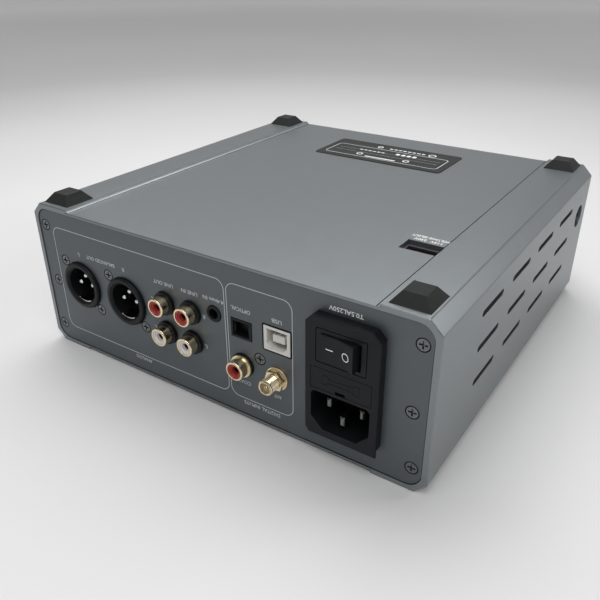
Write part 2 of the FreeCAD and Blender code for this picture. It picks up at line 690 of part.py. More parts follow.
def make_update_port():
    """Small service socket on its own board behind the round-ended window in the side."""
    x1 = -INNER_HALF + 0.15
    plate = block(x1, x1 + 1.6, PORT_Y - 8.0, PORT_Y + 8.0, PORT_Z - 6.0, PORT_Z + 6.0)
    socket = block(x1 - 1.6, x1, PORT_Y - 4.4, PORT_Y + 4.4, PORT_Z - 1.7, PORT_Z + 1.7)
    socket = socket.makeFillet(1.4, [e for e in socket.Edges if along(e, V(1, 0, 0))])
    hollow = block(x1 - 2, x1 + 0.8, PORT_Y - 3.9, PORT_Y + 3.9, PORT_Z - 1.2, PORT_Z + 1.2)
    return plate.fuse(socket).removeSplitter().cut(hollow)


# ---- front controls and headphone outputs -------------------------------------------
POT_FRONT = FRONT_IN + 0.1


def make_volume_knob():
    """Turned knob: face dished a little, edge chamfered, bored for the shaft from behind."""
    u, z = KNOB_U, CONTROL_Z
    back = FRONT - KNOB_GAP
    face = FRONT - KNOB_OUT
    knob = rod_y(u, z, KNOB_R, face, back)
    knob = knob.makeChamfer(1.2, edges_at_y(knob, face))
    knob = knob.cut(rod_y(u, z, KNOB_R - 3.0, face - 1, face + 0.5))
    knob = knob.cut(rod_y(u, z, 7.0, back - 4.0, back + 1))
    for i in range(36):
        a = math.radians(10 * i)
        knob = knob.cut(rod_y(u + KNOB_R * math.cos(a), z + KNOB_R * math.sin(a), 0.45, face + 3, back + 1))
    pointer = ublock(u - 0.6, u + 0.6, face - 1, face + 0.9, z - KNOB_R + 3.6, z - KNOB_R + 9.0)
    return knob.cut(pointer).cut(rod_y(u, z, 3.0, back - 13.0, back + 1))


def make_volume_shaft():
    back = FRONT - KNOB_GAP
    return rod_y(KNOB_U, CONTROL_Z, 2.97, back - 12.9, POT_FRONT + 3.0)


def make_volume_pot():
    """Potentiometer body with its bushing and nut; the shaft runs in the bushing."""
    u, z = KNOB_U, CONTROL_Z
    body = rounded_y(u - 8.5, u + 8.5, z - 8.5, z + 8.5, 1.5, POT_FRONT, POT_FRONT + 14.0)
    bushing = rod_y(u, z, 3.5, FRONT - 3.5, POT_FRONT)
    nut = hexagon_y(u, z, 10.0, FRONT - 1.4, FRONT + 0.98)
    body = fuse_all([body, bushing, nut])
    return body.cut(rod_y(u, z, 3.03, FRONT - 5, POT_FRONT + 3.2))


def make_light_ring():
    return tube_y(KNOB_U, CONTROL_Z, KNOB_R + 2.5, KNOB_R - 1.0, FRONT - 0.2, FRONT + 0.95)


def make_headphone_635():
    u, z = JACK635_U, CONTROL_Z
    body = ublock(u - 8.0, u + 8.0, FRONT_IN + 0.1, FRONT_IN + 30.0, z - 9.0, BOARD_LOW - 0.1)
    neck = rod_y(u, z, 6.0, FRONT - 0.4, FRONT_IN + 0.1)
    ring = rod_y(u, z, 8.0, FRONT - 2.2, FRONT - 0.05)
    ring = ring.makeFillet(0.6, edges_at_y(ring, FRONT - 2.2))
    return fuse_all([body, neck, ring]).cut(rod_y(u, z, 3.25, FRONT - 4, FRONT_IN + 27.0))


def make_headphone_44():
    u, z = HEAD44_U, CONTROL_Z
    body = ublock(u - 6.5, u + 6.5, FRONT_IN + 0.1, FRONT_IN + 22.0, z - 6.5, BOARD_LOW - 0.1)
    neck = rod_y(u, z, 5.0, FRONT - 0.4, FRONT_IN + 0.1)
    ring = rod_y(u, z, 6.8, FRONT - 1.8, FRONT - 0.05)
    ring = ring.makeFillet(0.5, edges_at_y(ring, FRONT - 1.8))
    return fuse_all([body, neck, ring]).cut(rod_y(u, z, JACK44_R, FRONT - 4, FRONT_IN + 20.0))


def xlr4_screws():
    return [(XLR4_U - 9.5, CONTROL_Z + 12.0), (XLR4_U + 9.5, CONTROL_Z - 12.0)]


XLR4_FACE = FRONT - 1.6
LATCH_Z = CONTROL_Z - 9.2
LATCH_TRAVEL = 1.6


def make_headphone_xlr():
    """Four-pole female socket: collar, annular groove for the plug's shell, four contact holes."""
    u, z = XLR4_U, CONTROL_Z
    collar = rod_y(u, z, 11.2, XLR4_FACE, FRONT_IN + 0.1)
    collar = collar.makeFillet(0.7, edges_at_y(collar, XLR4_FACE))
    back = ublock(u - 11.5, u + 11.5, FRONT_IN + 0.1, FRONT_IN + 22.0, z - 11.5, BOARD_LOW - 0.1)
    body = fuse_all([collar, back])
    groove = tube_y(u, z, 8.1, 6.3, XLR4_FACE - 1, FRONT_IN + 14.0)
    body = body.cut(groove)
    for i in range(4):
        a = math.radians(45 + 90 * i)
        du, dz = 3.6 * math.cos(a), 3.6 * math.sin(a)
        body = body.cut(rod_y(u + du, z + dz, 1.35, XLR4_FACE - 1, FRONT_IN + 12.0))
    slot = ublock(u - 2.2, u + 2.2, XLR4_FACE - 1, FRONT_IN + 6.0, LATCH_Z - 1.7, LATCH_Z + 0.8)
    body = body.cut(slot)
    for centre in xlr4_screws():
        body = body.cut(rod_y(centre[0], centre[1], HOLE_R + 0.1, FRONT_IN - 1, FRONT_IN + 8))
    return body


def make_xlr_latch():
    """Push tab that frees the plug."""
    u = XLR4_U
    return ublock(u - 2.0, u + 2.0, XLR4_FACE - 1.8, FRONT_IN + 4.0, LATCH_Z - 1.5, LATCH_Z + 0.6)


TOGGLE_PIVOT = FRONT + 0.8
TOGGLE_TILT = 12.0


def make_toggle_bodies():
    """Bushing and box of each lever switch; the lever turns in a ball seat in the bushing."""
    parts = []
    for u in TOGGLE_U:
        z = CONTROL_Z
        box = ublock(u - 4.5, u + 4.5, FRONT_IN + 0.1, FRONT_IN + 11.0, z - 6.0, z + 6.0)
        bushing = rod_y(u, z, 3.0, FRONT - 3.2, FRONT_IN + 0.1)
        nut = tube_y(u, z, 4.6, 2.9, FRONT - 1.9, FRONT - 0.05)
        body = fuse_all([box, bushing, nut])
        body = body.cut(cone_y(u, z, 2.5, 1.2, FRONT - 3.3, TOGGLE_PIVOT - 0.5))
        body = body.cut(rod_y(u, z, 1.2, TOGGLE_PIVOT - 1.0, TOGGLE_PIVOT + 1))
        seat = Part.makeSphere(1.7, V(-u, TOGGLE_PIVOT + 0.6, z))
        body = body.cut(seat)
        parts.append(body)
    return Part.makeCompound(parts)


def make_toggle(u):
    """Tapered bat lever with a ball at its foot, drawn upright and tipped down to its rest stop."""
    pivot = V(-u, TOGGLE_PIVOT + 0.6, CONTROL_Z)
    lever = cone_y(u, CONTROL_Z, 1.5, 0.8, FRONT - 12.0, TOGGLE_PIVOT + 0.6)
    tip = Part.makeSphere(1.5, V(-u, FRONT - 12.0, CONTROL_Z))
    ball = Part.makeSphere(1.65, pivot)
    toggle = fuse_all([lever, tip, ball])
    toggle.rotate(pivot, V(1, 0, 0), TOGGLE_TILT)
    return toggle


BUTTON_OUT = 1.6
BUTTON_TRAVEL = 0.8


def make_input_button():
    u, z = BUTTON_U, CONTROL_Z
    cap = rod_y(u, z, 4.0, FRONT - BUTTON_OUT, FRONT_IN + 1.2)
    cap = cap.makeFillet(0.4, edges_at_y(cap, FRONT - BUTTON_OUT))
    skirt = rod_y(u, z, 4.9, FRONT_IN + 0.3, FRONT_IN + 1.2)
    return cap.fuse(skirt).removeSplitter()


def make_input_switch():
    """Tactile switch on its small board."""
    u, z = BUTTON_U, CONTROL_Z
    board = ublock(u - 4, u + 8, FRONT_IN + 7.0, FRONT_IN + 8.6, z - 14, z + 8)
    switch = ublock(u - 3, u + 3, FRONT_IN + 3.6, FRONT_IN + 7.0, z - 3, z + 3)
    plunger = rod_y(u, z, 1.7, FRONT_IN + 2.1, FRONT_IN + 3.6)
    return fuse_all([board, switch, plunger])


def make_indicator_lens():
    """Row of light pipes for the chosen input, held in one clear moulding."""
    u, z = BUTTON_U, CONTROL_Z - 10.0
    bar = ublock(u - 5.0, u + 5.0, FRONT + 0.02, FRONT_IN + 4.0, z - 1.0, z + 1.0)
    foot = ublock(u - 6.5, u + 6.5, FRONT_IN + 0.15, FRONT_IN + 4.0, z - 2.0, z + 2.0)
    return fuse_all([bar, foot])


# ---- inside -------------------------------------------------------------------------
TRANSFORMER_U = 54.0
TRANSFORMER_Y = -26.0
TRANSFORMER_R = 33.0
TRANSFORMER_H = 32.0


def board(points):
    corners = [V(-u, y, BOARD_LOW) for u, y in points]
    return Part.Face(Part.makePolygon(corners + corners[:1])).extrude(V(0, 0, BOARD_T))


def make_main_board():
    """Board with the digital inputs and the line connectors."""
    sheet = board([(-88, 10), (20, 10), (20, 36), (44, 36), (44, 93.0), (-88, 93.0)])
    return drill(sheet, MAIN_POSTS)


def make_amp_board():
    """Headphone amplifier board."""
    return drill(board([(-88, -88), (18, -88), (18, 6), (-88, 6)]), AMP_POSTS)


MAIN_POSTS = [(-82, 15), (-82, 70), (-30, 70), (15, 15), (39, 42)]
AMP_POSTS = [(-82, -74), (-82, 0), (12, -52), (12, 0)]
PSU_POSTS = [(52, 22), (86, 22)]


def drill(sheet, posts):
    for u, y in posts:
        sheet = sheet.cut(rod_z(-u, y, HOLE_R + 0.1, BOARD_LOW - 1, BOARD_HIGH + 1))
    return sheet


def make_psu_board():
    """Supply board beside the inlet, under the voltage selector."""
    sheet = ublock(47, 91, 16, 62, BOARD_LOW, BOARD_HIGH)
    return drill(sheet, PSU_POSTS)


def make_standoffs():
    """Hexagonal spacers on the underside wall, each with a screw through its board."""
    parts = []
    for u, y in MAIN_POSTS + AMP_POSTS + PSU_POSTS:
        r = 5.5 / math.sqrt(3)
        pts = [V(-u + r * math.cos(math.radians(60 * i)), y + r * math.sin(math.radians(60 * i)),
                 BOARD_HIGH) for i in range(6)]
        post = Part.Face(Part.makePolygon(pts + pts[:1])).extrude(V(0, 0, INNER_HIGH - BOARD_HIGH))
        screw = rod_z(-u, y, SCREW_R, BOARD_LOW, BOARD_HIGH)
        head = rod_z(-u, y, 2.7, BOARD_LOW - 1.6, BOARD_LOW)
        parts.append(fuse_all([post, screw, head]))
    return Part.makeCompound(parts)


def make_transformer():
    """Ring-wound mains transformer on the underside wall."""
    x, y = -TRANSFORMER_U, TRANSFORMER_Y
    z0 = INNER_HIGH - TRANSFORMER_H
    ring = rod_z(x, y, TRANSFORMER_R, z0, INNER_HIGH - 0.6)
    ring = ring.cut(rod_z(x, y, 9.0, z0 - 1, INNER_HIGH + 1))
    return ring.makeFillet(4.0, [e for e in ring.Edges if len(e.Vertexes) == 1])


def make_transformer_clamp():
    """Dished washer, bolt and boss that hold the transformer."""
    x, y = -TRANSFORMER_U, TRANSFORMER_Y
    z0 = INNER_HIGH - TRANSFORMER_H
    washer = rod_z(x, y, 20.0, z0 - 1.6, z0 - 0.05)
    stem = rod_z(x, y, 6.0, z0 - 0.05, INNER_HIGH)
    head = rod_z(x, y, 5.0, z0 - 5.6, z0 - 1.6)
    return fuse_all([washer, stem, head])


def make_capacitors():
    """Smoothing capacitors on the supply board and filter capacitors on the amplifier board."""
    parts = []
    tall = [(54, 35), (67, 35), (80, 35), (67, 22)]
    small = [(u, y) for u in (-60, -46) for y in (-30, -16)] + [(-20, -12), (-6, -12)]
    for (u, y), r, h in [(p, 6.0, 26.0) for p in tall] + [(p, 5.0, 20.0) for p in small]:
        can = rod_z(-u, y, r, BOARD_LOW - h, BOARD_LOW)
        low = [e for e in can.Edges if abs(e.BoundBox.ZMax - (BOARD_LOW - h)) < 1e-6]
        parts.append(can.makeFillet(0.8, low))
    return Part.makeCompound(parts)


def make_heat_sinks():
    """Two finned blocks on the amplifier board."""
    parts = []
    for u in (-76, -34):
        base = ublock(u - 2, u + 2, -56, -38, BOARD_LOW - 24, BOARD_LOW)
        fins = [ublock(u - 8, u + 8, -56 + 4 * i, -54.5 + 4 * i, BOARD_LOW - 24, BOARD_LOW)
                for i in range(5)]
        parts.append(fuse_all([base] + fins))
    return Part.makeCompound(parts)


def make_chips():
    """Converter, processor and amplifier packages, and the screening can."""
    layout = [(-52, 52, 7, 7, 1.0), (-52, 34, 7, 7, 1.0), (-18, 40, 5, 5, 1.0), (4, 52, 9, 9, 1.2),
              (30, 60, 6, 6, 1.0), (-18, 58, 4, 4, 2.4), (-74, 58, 5, 9, 8.0), (-74, 36, 5, 9, 8.0),
              (-4, 24, 11, 8, 6.0), (-14, -36, 4, 4, 2.0), (2, -36, 4, 4, 2.0)]
    return Part.makeCompound([ublock(u - a, u + a, y - b, y + b, BOARD_LOW - h, BOARD_LOW)
                              for u, y, a, b, h in layout])


# ---- build --------------------------------------------------------------------------
def build():
    node("case_shell", make_case())
    node("rear_panel", make_rear_panel())
    node("front_panel", make_front_panel())
    rear_screws = [screw_y(c, REAR, 1, 14.0) for c in mirrored_screws()]
    node("rear_panel_screws", Part.makeCompound(rear_screws))
    front_screws = [screw_y(c, FRONT, -1, 14.0) for c in mirrored_screws()]
    node("front_panel_screws", Part.makeCompound(front_screws))
    for end, sy in (("rear", 1), ("front", -1)):
        for side, sx in (("left", 1), ("right", -1)):
            node("foot_%s_%s" % (end, side), make_foot(sx, sy))
    label = block(-36.9, 38.3, -77.4, -44.4, COVER_FACE + 0.02, COVER_FACE + 0.32)
    corners = [e for e in label.Edges if along(e, V(0, 0, 1))]
    node("underside_label", label.makeFillet(2.2, corners))

    node("xlr_housing_left", make_xlr_housing(XLR_U[0]))
    node("xlr_housing_right", make_xlr_housing(XLR_U[1]))
    node("xlr_contacts", make_xlr_contacts())
    node("connector_screws", make_connector_screws())
    node("rca_block", make_rca_block())
    centres = rca_centres()
    node("rca_shells", Part.makeCompound([rca_shell(u, z, False) for u, z in centres.values()]))
    for colour, row in (("red", 1), ("white", -1)):
        pair = [rca_insulator(*centres[(col, row)]) for col in (-1, 1)]
        node("rca_insulators_" + colour, Part.makeCompound(pair))
    node("coax_body", make_coax_body())
    node("coax_shell", rca_shell(COAX_U, DIGITAL_Z, True))
    node("coax_insulator", rca_insulator(COAX_U, DIGITAL_Z))
    node("balanced_in_jack", make_balanced_in_jack())
    node("optical_receiver", make_optical_receiver())
    node("optical_shutter", make_optical_shutter())
    node("usb_socket", make_usb_socket())
    node("usb_tongue", make_usb_tongue())
    node("antenna_socket", make_antenna_socket())
    node("antenna_nut", make_antenna_nut())
    node("antenna_washer", make_antenna_washer())

    node("power_module", make_power_module())
    node("inlet_pins", make_inlet_pins())
    node("mains_rocker", make_rocker())
    node("fuse_drawer", make_fuse_drawer())
    node("fuses", make_fuses())
    node("voltage_selector", make_selector())
    node("voltage_selector_slider", make_selector_slider())
    node("update_port", make_update_port())

    node("volume_knob", make_volume_knob())
    node("volume_shaft", make_volume_shaft())
    node("volume_pot", make_volume_pot())
    node("volume_light_ring", make_light_ring())
    node("headphone_jack_635", make_headphone_635())
    node("headphone_jack_44", make_headphone_44())
    node("headphone_xlr", make_headphone_xlr())
    node("headphone_xlr_latch", make_xlr_latch())
    node("toggle_bodies", make_toggle_bodies())
    node("gain_toggle", make_toggle(TOGGLE_U[0]))
    node("output_toggle", make_toggle(TOGGLE_U[1]))
    node("input_button", make_input_button())
    node("input_switch", make_input_switch())
    node("indicator_lens", make_indicator_lens())

    node("main_board", make_main_board())
    node("amp_board", make_amp_board())
    node("psu_board", make_psu_board())
    node("board_standoffs", make_standoffs())
    node("transformer", make_transformer())
    node("transformer_clamp", make_transformer_clamp())
    node("capacitors", make_capacitors())
    node("heat_sinks", make_heat_sinks())
    node("chips", make_chips())


build()
os.makedirs("parts", exist_ok=True)
for name, shape in NODES.items():
    shape.translate(V(0, FOOTPRINT_SHIFT, 0))
    shape.exportStep(os.path.join("parts", name + ".step"))
print(len(NODES), "nodes")
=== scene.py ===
import json
import math

import bmesh
import bpy
from mathutils import Matrix, Vector


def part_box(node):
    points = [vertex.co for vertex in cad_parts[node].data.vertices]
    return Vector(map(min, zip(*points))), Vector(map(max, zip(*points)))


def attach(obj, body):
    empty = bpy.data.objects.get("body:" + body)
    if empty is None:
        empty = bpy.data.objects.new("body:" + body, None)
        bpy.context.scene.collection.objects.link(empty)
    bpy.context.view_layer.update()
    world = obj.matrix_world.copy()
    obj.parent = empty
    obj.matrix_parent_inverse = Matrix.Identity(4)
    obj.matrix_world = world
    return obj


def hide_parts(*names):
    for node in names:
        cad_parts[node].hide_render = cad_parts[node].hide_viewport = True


# Desktop converter, upside down on its top cover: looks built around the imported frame.
# Metres, +Z up, rear panel towards +Y. "right" below means towards -X, which is the right-hand
# side for somebody who looks at the rear panel.

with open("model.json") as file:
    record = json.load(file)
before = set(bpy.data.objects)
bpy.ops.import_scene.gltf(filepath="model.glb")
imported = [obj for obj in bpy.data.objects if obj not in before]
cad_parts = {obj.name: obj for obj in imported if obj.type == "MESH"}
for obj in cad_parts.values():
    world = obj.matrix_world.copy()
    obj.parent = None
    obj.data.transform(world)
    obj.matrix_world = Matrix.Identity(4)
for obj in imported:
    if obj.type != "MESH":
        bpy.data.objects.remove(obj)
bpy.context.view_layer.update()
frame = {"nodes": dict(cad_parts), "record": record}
NODES = frame["nodes"]
SLOT_OF = {part["node"]: part["material_slot"] for part in frame["record"]["subparts"]}
BODY_OF = {
    node: body
    for body, members in frame["record"]["behaviour"]["bodies"].items()
    for node in members
}
MM = 0.001


def box(node):
    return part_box(node)


def middle(node):
    low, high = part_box(node)
    return (low + high) / 2


REAR_FACE = box("rear_panel")[1].y
UNDERSIDE = box("underside_label")[0].z
RAIL_FOOT = 77.5 * MM       # half width of the sunk underside
RAIL_TOP = box("case_shell")[1].z


# ---- materials ------------------------------------------------------------------------
class Graph:
    """A material's node tree with short ways to add and join nodes."""

    def __init__(self, name):
        self.material = bpy.data.materials.new(name)
        self.material.use_nodes = True
        self.tree = self.material.node_tree
        self.shader = self.tree.nodes["Principled BSDF"]
        self.place = self.add("ShaderNodeTexCoord").outputs["Object"]

    def add(self, kind, **settings):
        node = self.tree.nodes.new(kind)
        for key, value in settings.items():
            setattr(node, key, value)
        return node

    def join(self, output, target):
        self.tree.links.new(output, target)

    def noise(self, per_metre, detail=2.0, rough=0.5, stretch=None):
        node = self.add("ShaderNodeTexNoise")
        node.inputs["Scale"].default_value = per_metre
        node.inputs["Detail"].default_value = detail
        node.inputs["Roughness"].default_value = rough
        source = self.place
        if stretch is not None:
            mapping = self.add("ShaderNodeMapping")
            mapping.inputs["Scale"].default_value = stretch
            self.join(source, mapping.inputs["Vector"])
            source = mapping.outputs["Vector"]
        self.join(source, node.inputs["Vector"])
        return node.outputs["Fac"]

    def spread(self, value, low, high, start=0.3, end=0.7):
        node = self.add("ShaderNodeMapRange")
        node.inputs["From Min"].default_value = start
        node.inputs["From Max"].default_value = end
        node.inputs["To Min"].default_value = low
        node.inputs["To Max"].default_value = high
        self.join(value, node.inputs["Value"])
        return node.outputs["Result"]

    def math(self, operation, first, second):
        node = self.add("ShaderNodeMath", operation=operation)
        for socket, value in zip(node.inputs, (first, second)):
            if isinstance(value, (int, float)):
                socket.default_value = value
            else:
                self.join(value, socket)
        return node.outputs["Value"]

    def blend(self, factor, first, second):
        """Colour mix; each side is a colour tuple or an output."""
        node = self.add("ShaderNodeMix", data_type="RGBA")
        self.join(factor, node.inputs["Factor"])
        for socket, value in ((node.inputs["A"], first), (node.inputs["B"], second)):
            if isinstance(value, tuple):
                socket.default_value = (*value, 1.0)
            else:
                self.join(value, socket)
        return node.outputs["Result"]

    def edges(self, radius, strength):
        """1 on outer edges and 0 on faces, broken up by a noise."""
        bevel = self.add("ShaderNodeBevel", samples=4)
        bevel.inputs["Radius"].default_value = radius
        geometry = self.add("ShaderNodeNewGeometry")
        dot = self.add("ShaderNodeVectorMath", operation="DOT_PRODUCT")
        self.join(bevel.outputs["Normal"], dot.inputs[0])
        self.join(geometry.outputs["Normal"], dot.inputs[1])
        turned = self.spread(dot.outputs["Value"], strength, 0.0, 0.86, 0.995)
        broken = self.spread(self.noise(900.0, 3.0), 0.35, 1.0)
        return self.math("MULTIPLY", turned, broken)

    def bump(self, height, distance, strength=1.0):
        node = self.add("ShaderNodeBump")
        node.inputs["Strength"].default_value = strength
        node.inputs["Distance"].default_value = distance
        self.join(height, node.inputs["Height"])
        self.join(node.outputs["Normal"], self.shader.inputs["Normal"])


def shade(colour, factor):
    return tuple(min(1.0, channel * factor) for channel in colour)


def surface(name, colour, rough, metal=0.0, grain=6000.0, depth=0.00001, mottle=0.06,
            rough_spread=0.05, wear=0.0, wear_radius=0.0003, wear_gain=1.9, **sockets):
    """Grained material: mottled colour, uneven roughness, fine bump and lighter worn edges."""
    graph = Graph(name)
    shader = graph.shader
    patches = graph.noise(140.0, 4.0)
    speck = graph.noise(grain, 2.0)
    mix = graph.math("MULTIPLY", patches, 0.5)
    mix = graph.math("ADD", mix, graph.math("MULTIPLY", speck, 0.5))
    tone = graph.spread(mix, 0.0, 1.0, 0.35, 0.65)
    paint = graph.blend(tone, shade(colour, 1 - mottle), shade(colour, 1 + mottle))
    if wear:
        paint = graph.blend(graph.edges(wear_radius, wear), paint, shade(colour, wear_gain))
    graph.join(paint, shader.inputs["Base Color"])
    graph.join(
        graph.spread(patches, rough - rough_spread, rough + rough_spread),
        shader.inputs["Roughness"],
    )
    shader.inputs["Metallic"].default_value = metal
    for key, value in sockets.items():
        shader.inputs[key.replace("_", " ")].default_value = value
    graph.bump(speck, depth)
    return graph.material


def turned_metal(name, colour, rough, axis_x, axis_z, metal=1.0, pitch=0.00022):
    """Metal with fine lathe rings round an axis along Y."""
    graph = Graph(name)
    shift = graph.add("ShaderNodeMapping")
    shift.inputs["Location"].default_value = (-axis_x, 0.0, -axis_z)
    shift.inputs["Scale"].default_value = (1.0, 0.0, 1.0)
    graph.join(graph.place, shift.inputs["Vector"])
    length = graph.add("ShaderNodeVectorMath", operation="LENGTH")
    graph.join(shift.outputs["Vector"], length.inputs[0])
    rings = graph.add("ShaderNodeTexNoise", noise_dimensions="1D")
    rings.inputs["Scale"].default_value = 1.0 / pitch
    rings.inputs["Detail"].default_value = 3.0
    graph.join(length.outputs["Value"], rings.inputs["W"])
    tone = graph.spread(rings.outputs["Fac"], 0.0, 1.0)
    paint = graph.blend(tone, shade(colour, 0.9), shade(colour, 1.1))
    paint = graph.blend(graph.edges(0.0003, 0.6), paint, shade(colour, 1.7))
    graph.join(paint, graph.shader.inputs["Base Color"])
    graph.join(graph.spread(tone, rough - 0.05, rough + 0.05, 0.0, 1.0),
               graph.shader.inputs["Roughness"])
    graph.shader.inputs["Metallic"].default_value = metal
    graph.shader.inputs["Anisotropic"].default_value = 0.5
    graph.bump(rings.outputs["Fac"], 0.000012)
    return graph.material


def make_materials():
    made = {}

    def add(name, *args, **options):
        made[name] = surface(name, *args, **options)

    add("case_blue_grey", (0.24, 0.258, 0.267), 0.38, metal=0.85, grain=3600.0, depth=0.000011,
        mottle=0.03, rough_spread=0.01, wear=0.5, wear_gain=1.5)
    add("panel_grey", (0.118, 0.133, 0.142), 0.46, metal=0.7, grain=4200.0, depth=0.000005,
        mottle=0.03, rough_spread=0.01, wear=0.4, wear_gain=1.7)
    add("screw_steel", (0.17, 0.178, 0.185), 0.34, metal=0.95, grain=9000.0, depth=0.000003,
        mottle=0.12, wear=0.7, wear_radius=0.00015, wear_gain=2.0)
    add("foot_rubber", (0.012, 0.013, 0.0133), 0.7, grain=2600.0, depth=0.00004, mottle=0.2,
        wear=0.5, wear_radius=0.0006, wear_gain=2.6, Specular_IOR_Level=0.35)
    add("label_grey", (0.036, 0.039, 0.038), 0.75, grain=8000.0, depth=0.000003, mottle=0.04,
        Specular_IOR_Level=0.2)
    add("connector_black", (0.006, 0.0068, 0.008), 0.42, grain=6500.0, depth=0.000006, mottle=0.12,
        wear=0.25, wear_radius=0.0002, wear_gain=2.5, Specular_IOR_Level=0.22)
    add("module_black", (0.006, 0.007, 0.0088), 0.45, grain=5200.0, depth=0.000008, mottle=0.12,
        wear=0.4, wear_radius=0.00025, wear_gain=3.0, Specular_IOR_Level=0.24)
    add("gilt", (0.88, 0.75, 0.52), 0.19, metal=1.0, grain=7000.0, depth=0.0000015, mottle=0.04,
        rough_spread=0.03)
    add("contact_metal", (0.82, 0.82, 0.79), 0.14, metal=1.0, grain=7000.0, depth=0.000001,
        mottle=0.03)
    add("insulator_red", (0.34, 0.028, 0.022), 0.34, grain=5000.0, depth=0.000004, mottle=0.06)
    add("insulator_white", (0.72, 0.69, 0.68), 0.34, grain=5000.0, depth=0.000004, mottle=0.03)
    add("usb_white", (0.66, 0.65, 0.61), 0.36, grain=5000.0, depth=0.000005, mottle=0.03)
    add("selector_maroon", (0.035, 0.004, 0.008), 0.45, grain=5000.0, depth=0.000004, mottle=0.08)
    add("selector_grey", (0.03, 0.031, 0.032), 0.45, grain=5000.0, depth=0.000005, mottle=0.04)
    add("light_pipe", (0.8, 0.84, 0.88), 0.4, grain=4000.0, depth=0.00001, mottle=0.03,
        Transmission_Weight=0.6, IOR=1.49)
    add("toggle_metal", (0.72, 0.72, 0.73), 0.2, metal=1.0, grain=7000.0, depth=0.000002,
        mottle=0.04, wear=0.3)
    add("board_green", (0.018, 0.085, 0.045), 0.35, grain=2600.0, depth=0.00002, mottle=0.2,
        Coat_Weight=0.4)
    add("transformer_tape", (0.4, 0.28, 0.05), 0.4, grain=900.0, depth=0.00008, mottle=0.2)
    add("capacitor_sleeve", (0.025, 0.033, 0.06), 0.3, grain=3000.0, depth=0.000008, mottle=0.1)
    add("sink_black", (0.04, 0.04, 0.045), 0.4, metal=0.7, grain=5000.0, depth=0.000006,
        mottle=0.08, wear=0.4)
    add("chip_black", (0.02, 0.02, 0.022), 0.5, grain=4000.0, depth=0.00001, mottle=0.12)
    add("fuse_glass", (0.85, 0.87, 0.87), 0.08, grain=3000.0, depth=0.000002, mottle=0.02,
        Transmission_Weight=0.8, IOR=1.5)
    add("print_grey", (0.5, 0.52, 0.53), 0.55, grain=7000.0, depth=0.000003, mottle=0.06)
    add("print_white", (0.85, 0.86, 0.86), 0.5, grain=7000.0, depth=0.000003, mottle=0.04)
    add("frost_glass", (0.36, 0.31, 0.22), 0.45, grain=6000.0, depth=0.000006, mottle=0.1)
    # Pins painted darker than their metal as painted shade, with edges four times lighter as painted glints.
    add("pin_metal_painted_glints", (0.2, 0.2, 0.195), 0.3, metal=1.0, grain=7000.0, depth=0.000002,
        mottle=0.05, wear=0.9, wear_radius=0.0003, wear_gain=4.0)
    # Lighter copy of the case metal, a painted highlight for the lit rail walls.
    add("painted_highlight_metal", (0.36, 0.385, 0.4), 0.32, metal=0.9, grain=5000.0, depth=0.000003, mottle=0.05)
    # Near black for painted shade: rings, lines, sheets and openings put where there is only shade.
    add("painted_shade_black", (0.008, 0.008, 0.009), 0.7, grain=3000.0, depth=0.00001, Specular_IOR_Level=0.1)
    # Dark metal of the phono contacts, painted shade for the inside of the holes.
    add("contact_painted_shade", (0.05, 0.042, 0.03), 0.35, metal=0.8, grain=6000.0, depth=0.000004,
        mottle=0.1)
    knob = middle("volume_knob")
    made["knob_metal"] = turned_metal("knob_metal", (0.24, 0.27, 0.285), 0.36, knob.x, knob.z, 0.8)
    return made


MATERIALS = make_materials()


# ---- pieces ---------------------------------------------------------------------------
SMOOTH_BELOW = math.radians(27)


def place(obj, body, material, replaced=()):
    """Links a new piece, paints it and lets it ride on its body."""
    if obj.name not in bpy.context.scene.collection.objects:
        bpy.context.scene.collection.objects.link(obj)
    obj.data.materials.clear()
    obj.data.materials.append(material)
    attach(obj, body)
    if replaced:
        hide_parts(*replaced)
    return obj


def soften(obj, width, segments):
    """Rounds the sharp edges of a piece by a small width, with clean shading."""
    bevel = obj.modifiers.new("soft_edges", "BEVEL")
    bevel.width = width
    bevel.segments = segments
    bevel.limit_method = "ANGLE"
    bevel.angle_limit = math.radians(35)
    bevel.harden_normals = True
    bevel.use_clamp_overlap = True


def shade_by_angle(bm):
    for face in bm.faces:
        face.smooth = True
    for edge in bm.edges:
        edge.smooth = len(edge.link_faces) == 2 and edge.calc_face_angle() < SMOOTH_BELOW


def from_bmesh(name, bm):
    bmesh.ops.recalc_face_normals(bm, faces=bm.faces)
    shade_by_angle(bm)
    mesh = bpy.data.meshes.new(name)
    bm.to_mesh(mesh)
    bm.free()
    return bpy.data.objects.new(name, mesh)


def absorb(bm, part):
    """Adds the geometry of one bmesh to another and frees it."""
    mesh = bpy.data.meshes.new("absorbed")
    part.to_mesh(mesh)
    part.free()
    bm.from_mesh(mesh)
    bpy.data.meshes.remove(mesh)


def cleaned(node):
    """The CAD node's mesh with its seams welded and its flat faces joined up."""
    bm = bmesh.new()
    bm.from_mesh(NODES[node].data)
    bmesh.ops.remove_doubles(bm, verts=bm.verts, dist=0.000002)
    bmesh.ops.dissolve_limit(bm, angle_limit=math.radians(0.4), verts=bm.verts, edges=bm.edges)
    return bm


def refine(node, bevel=0.12, segments=2, material=None):
    """A softened copy of a CAD node that stands for it."""
    obj = from_bmesh(node + "_finished", cleaned(node))
    slot = SLOT_OF[node]
    place(obj, BODY_OF[node], MATERIALS[material or slot], [node])
    if bevel:
        soften(obj, bevel * MM, segments)
    return obj


def circle(radius, steps, turn=0.0):
    return [
        (radius * math.cos(turn + math.tau * i / steps), radius * math.sin(turn + math.tau * i / steps))
        for i in range(steps)
    ]


def rounded_outline(half_w, half_h, radius, steps=6):
    """Corners of a rounded rectangle round the origin, anticlockwise."""
    points = []
    for quarter in range(4):
        sign_x = 1 if quarter in (0, 3) else -1
        sign_y = 1 if quarter in (0, 1) else -1
        for i in range(steps + 1):
            angle = math.radians(90) * (quarter + i / steps)
            points.append((sign_x * (half_w - radius) + radius * math.cos(angle),
                           sign_y * (half_h - radius) + radius * math.sin(angle)))
    return points


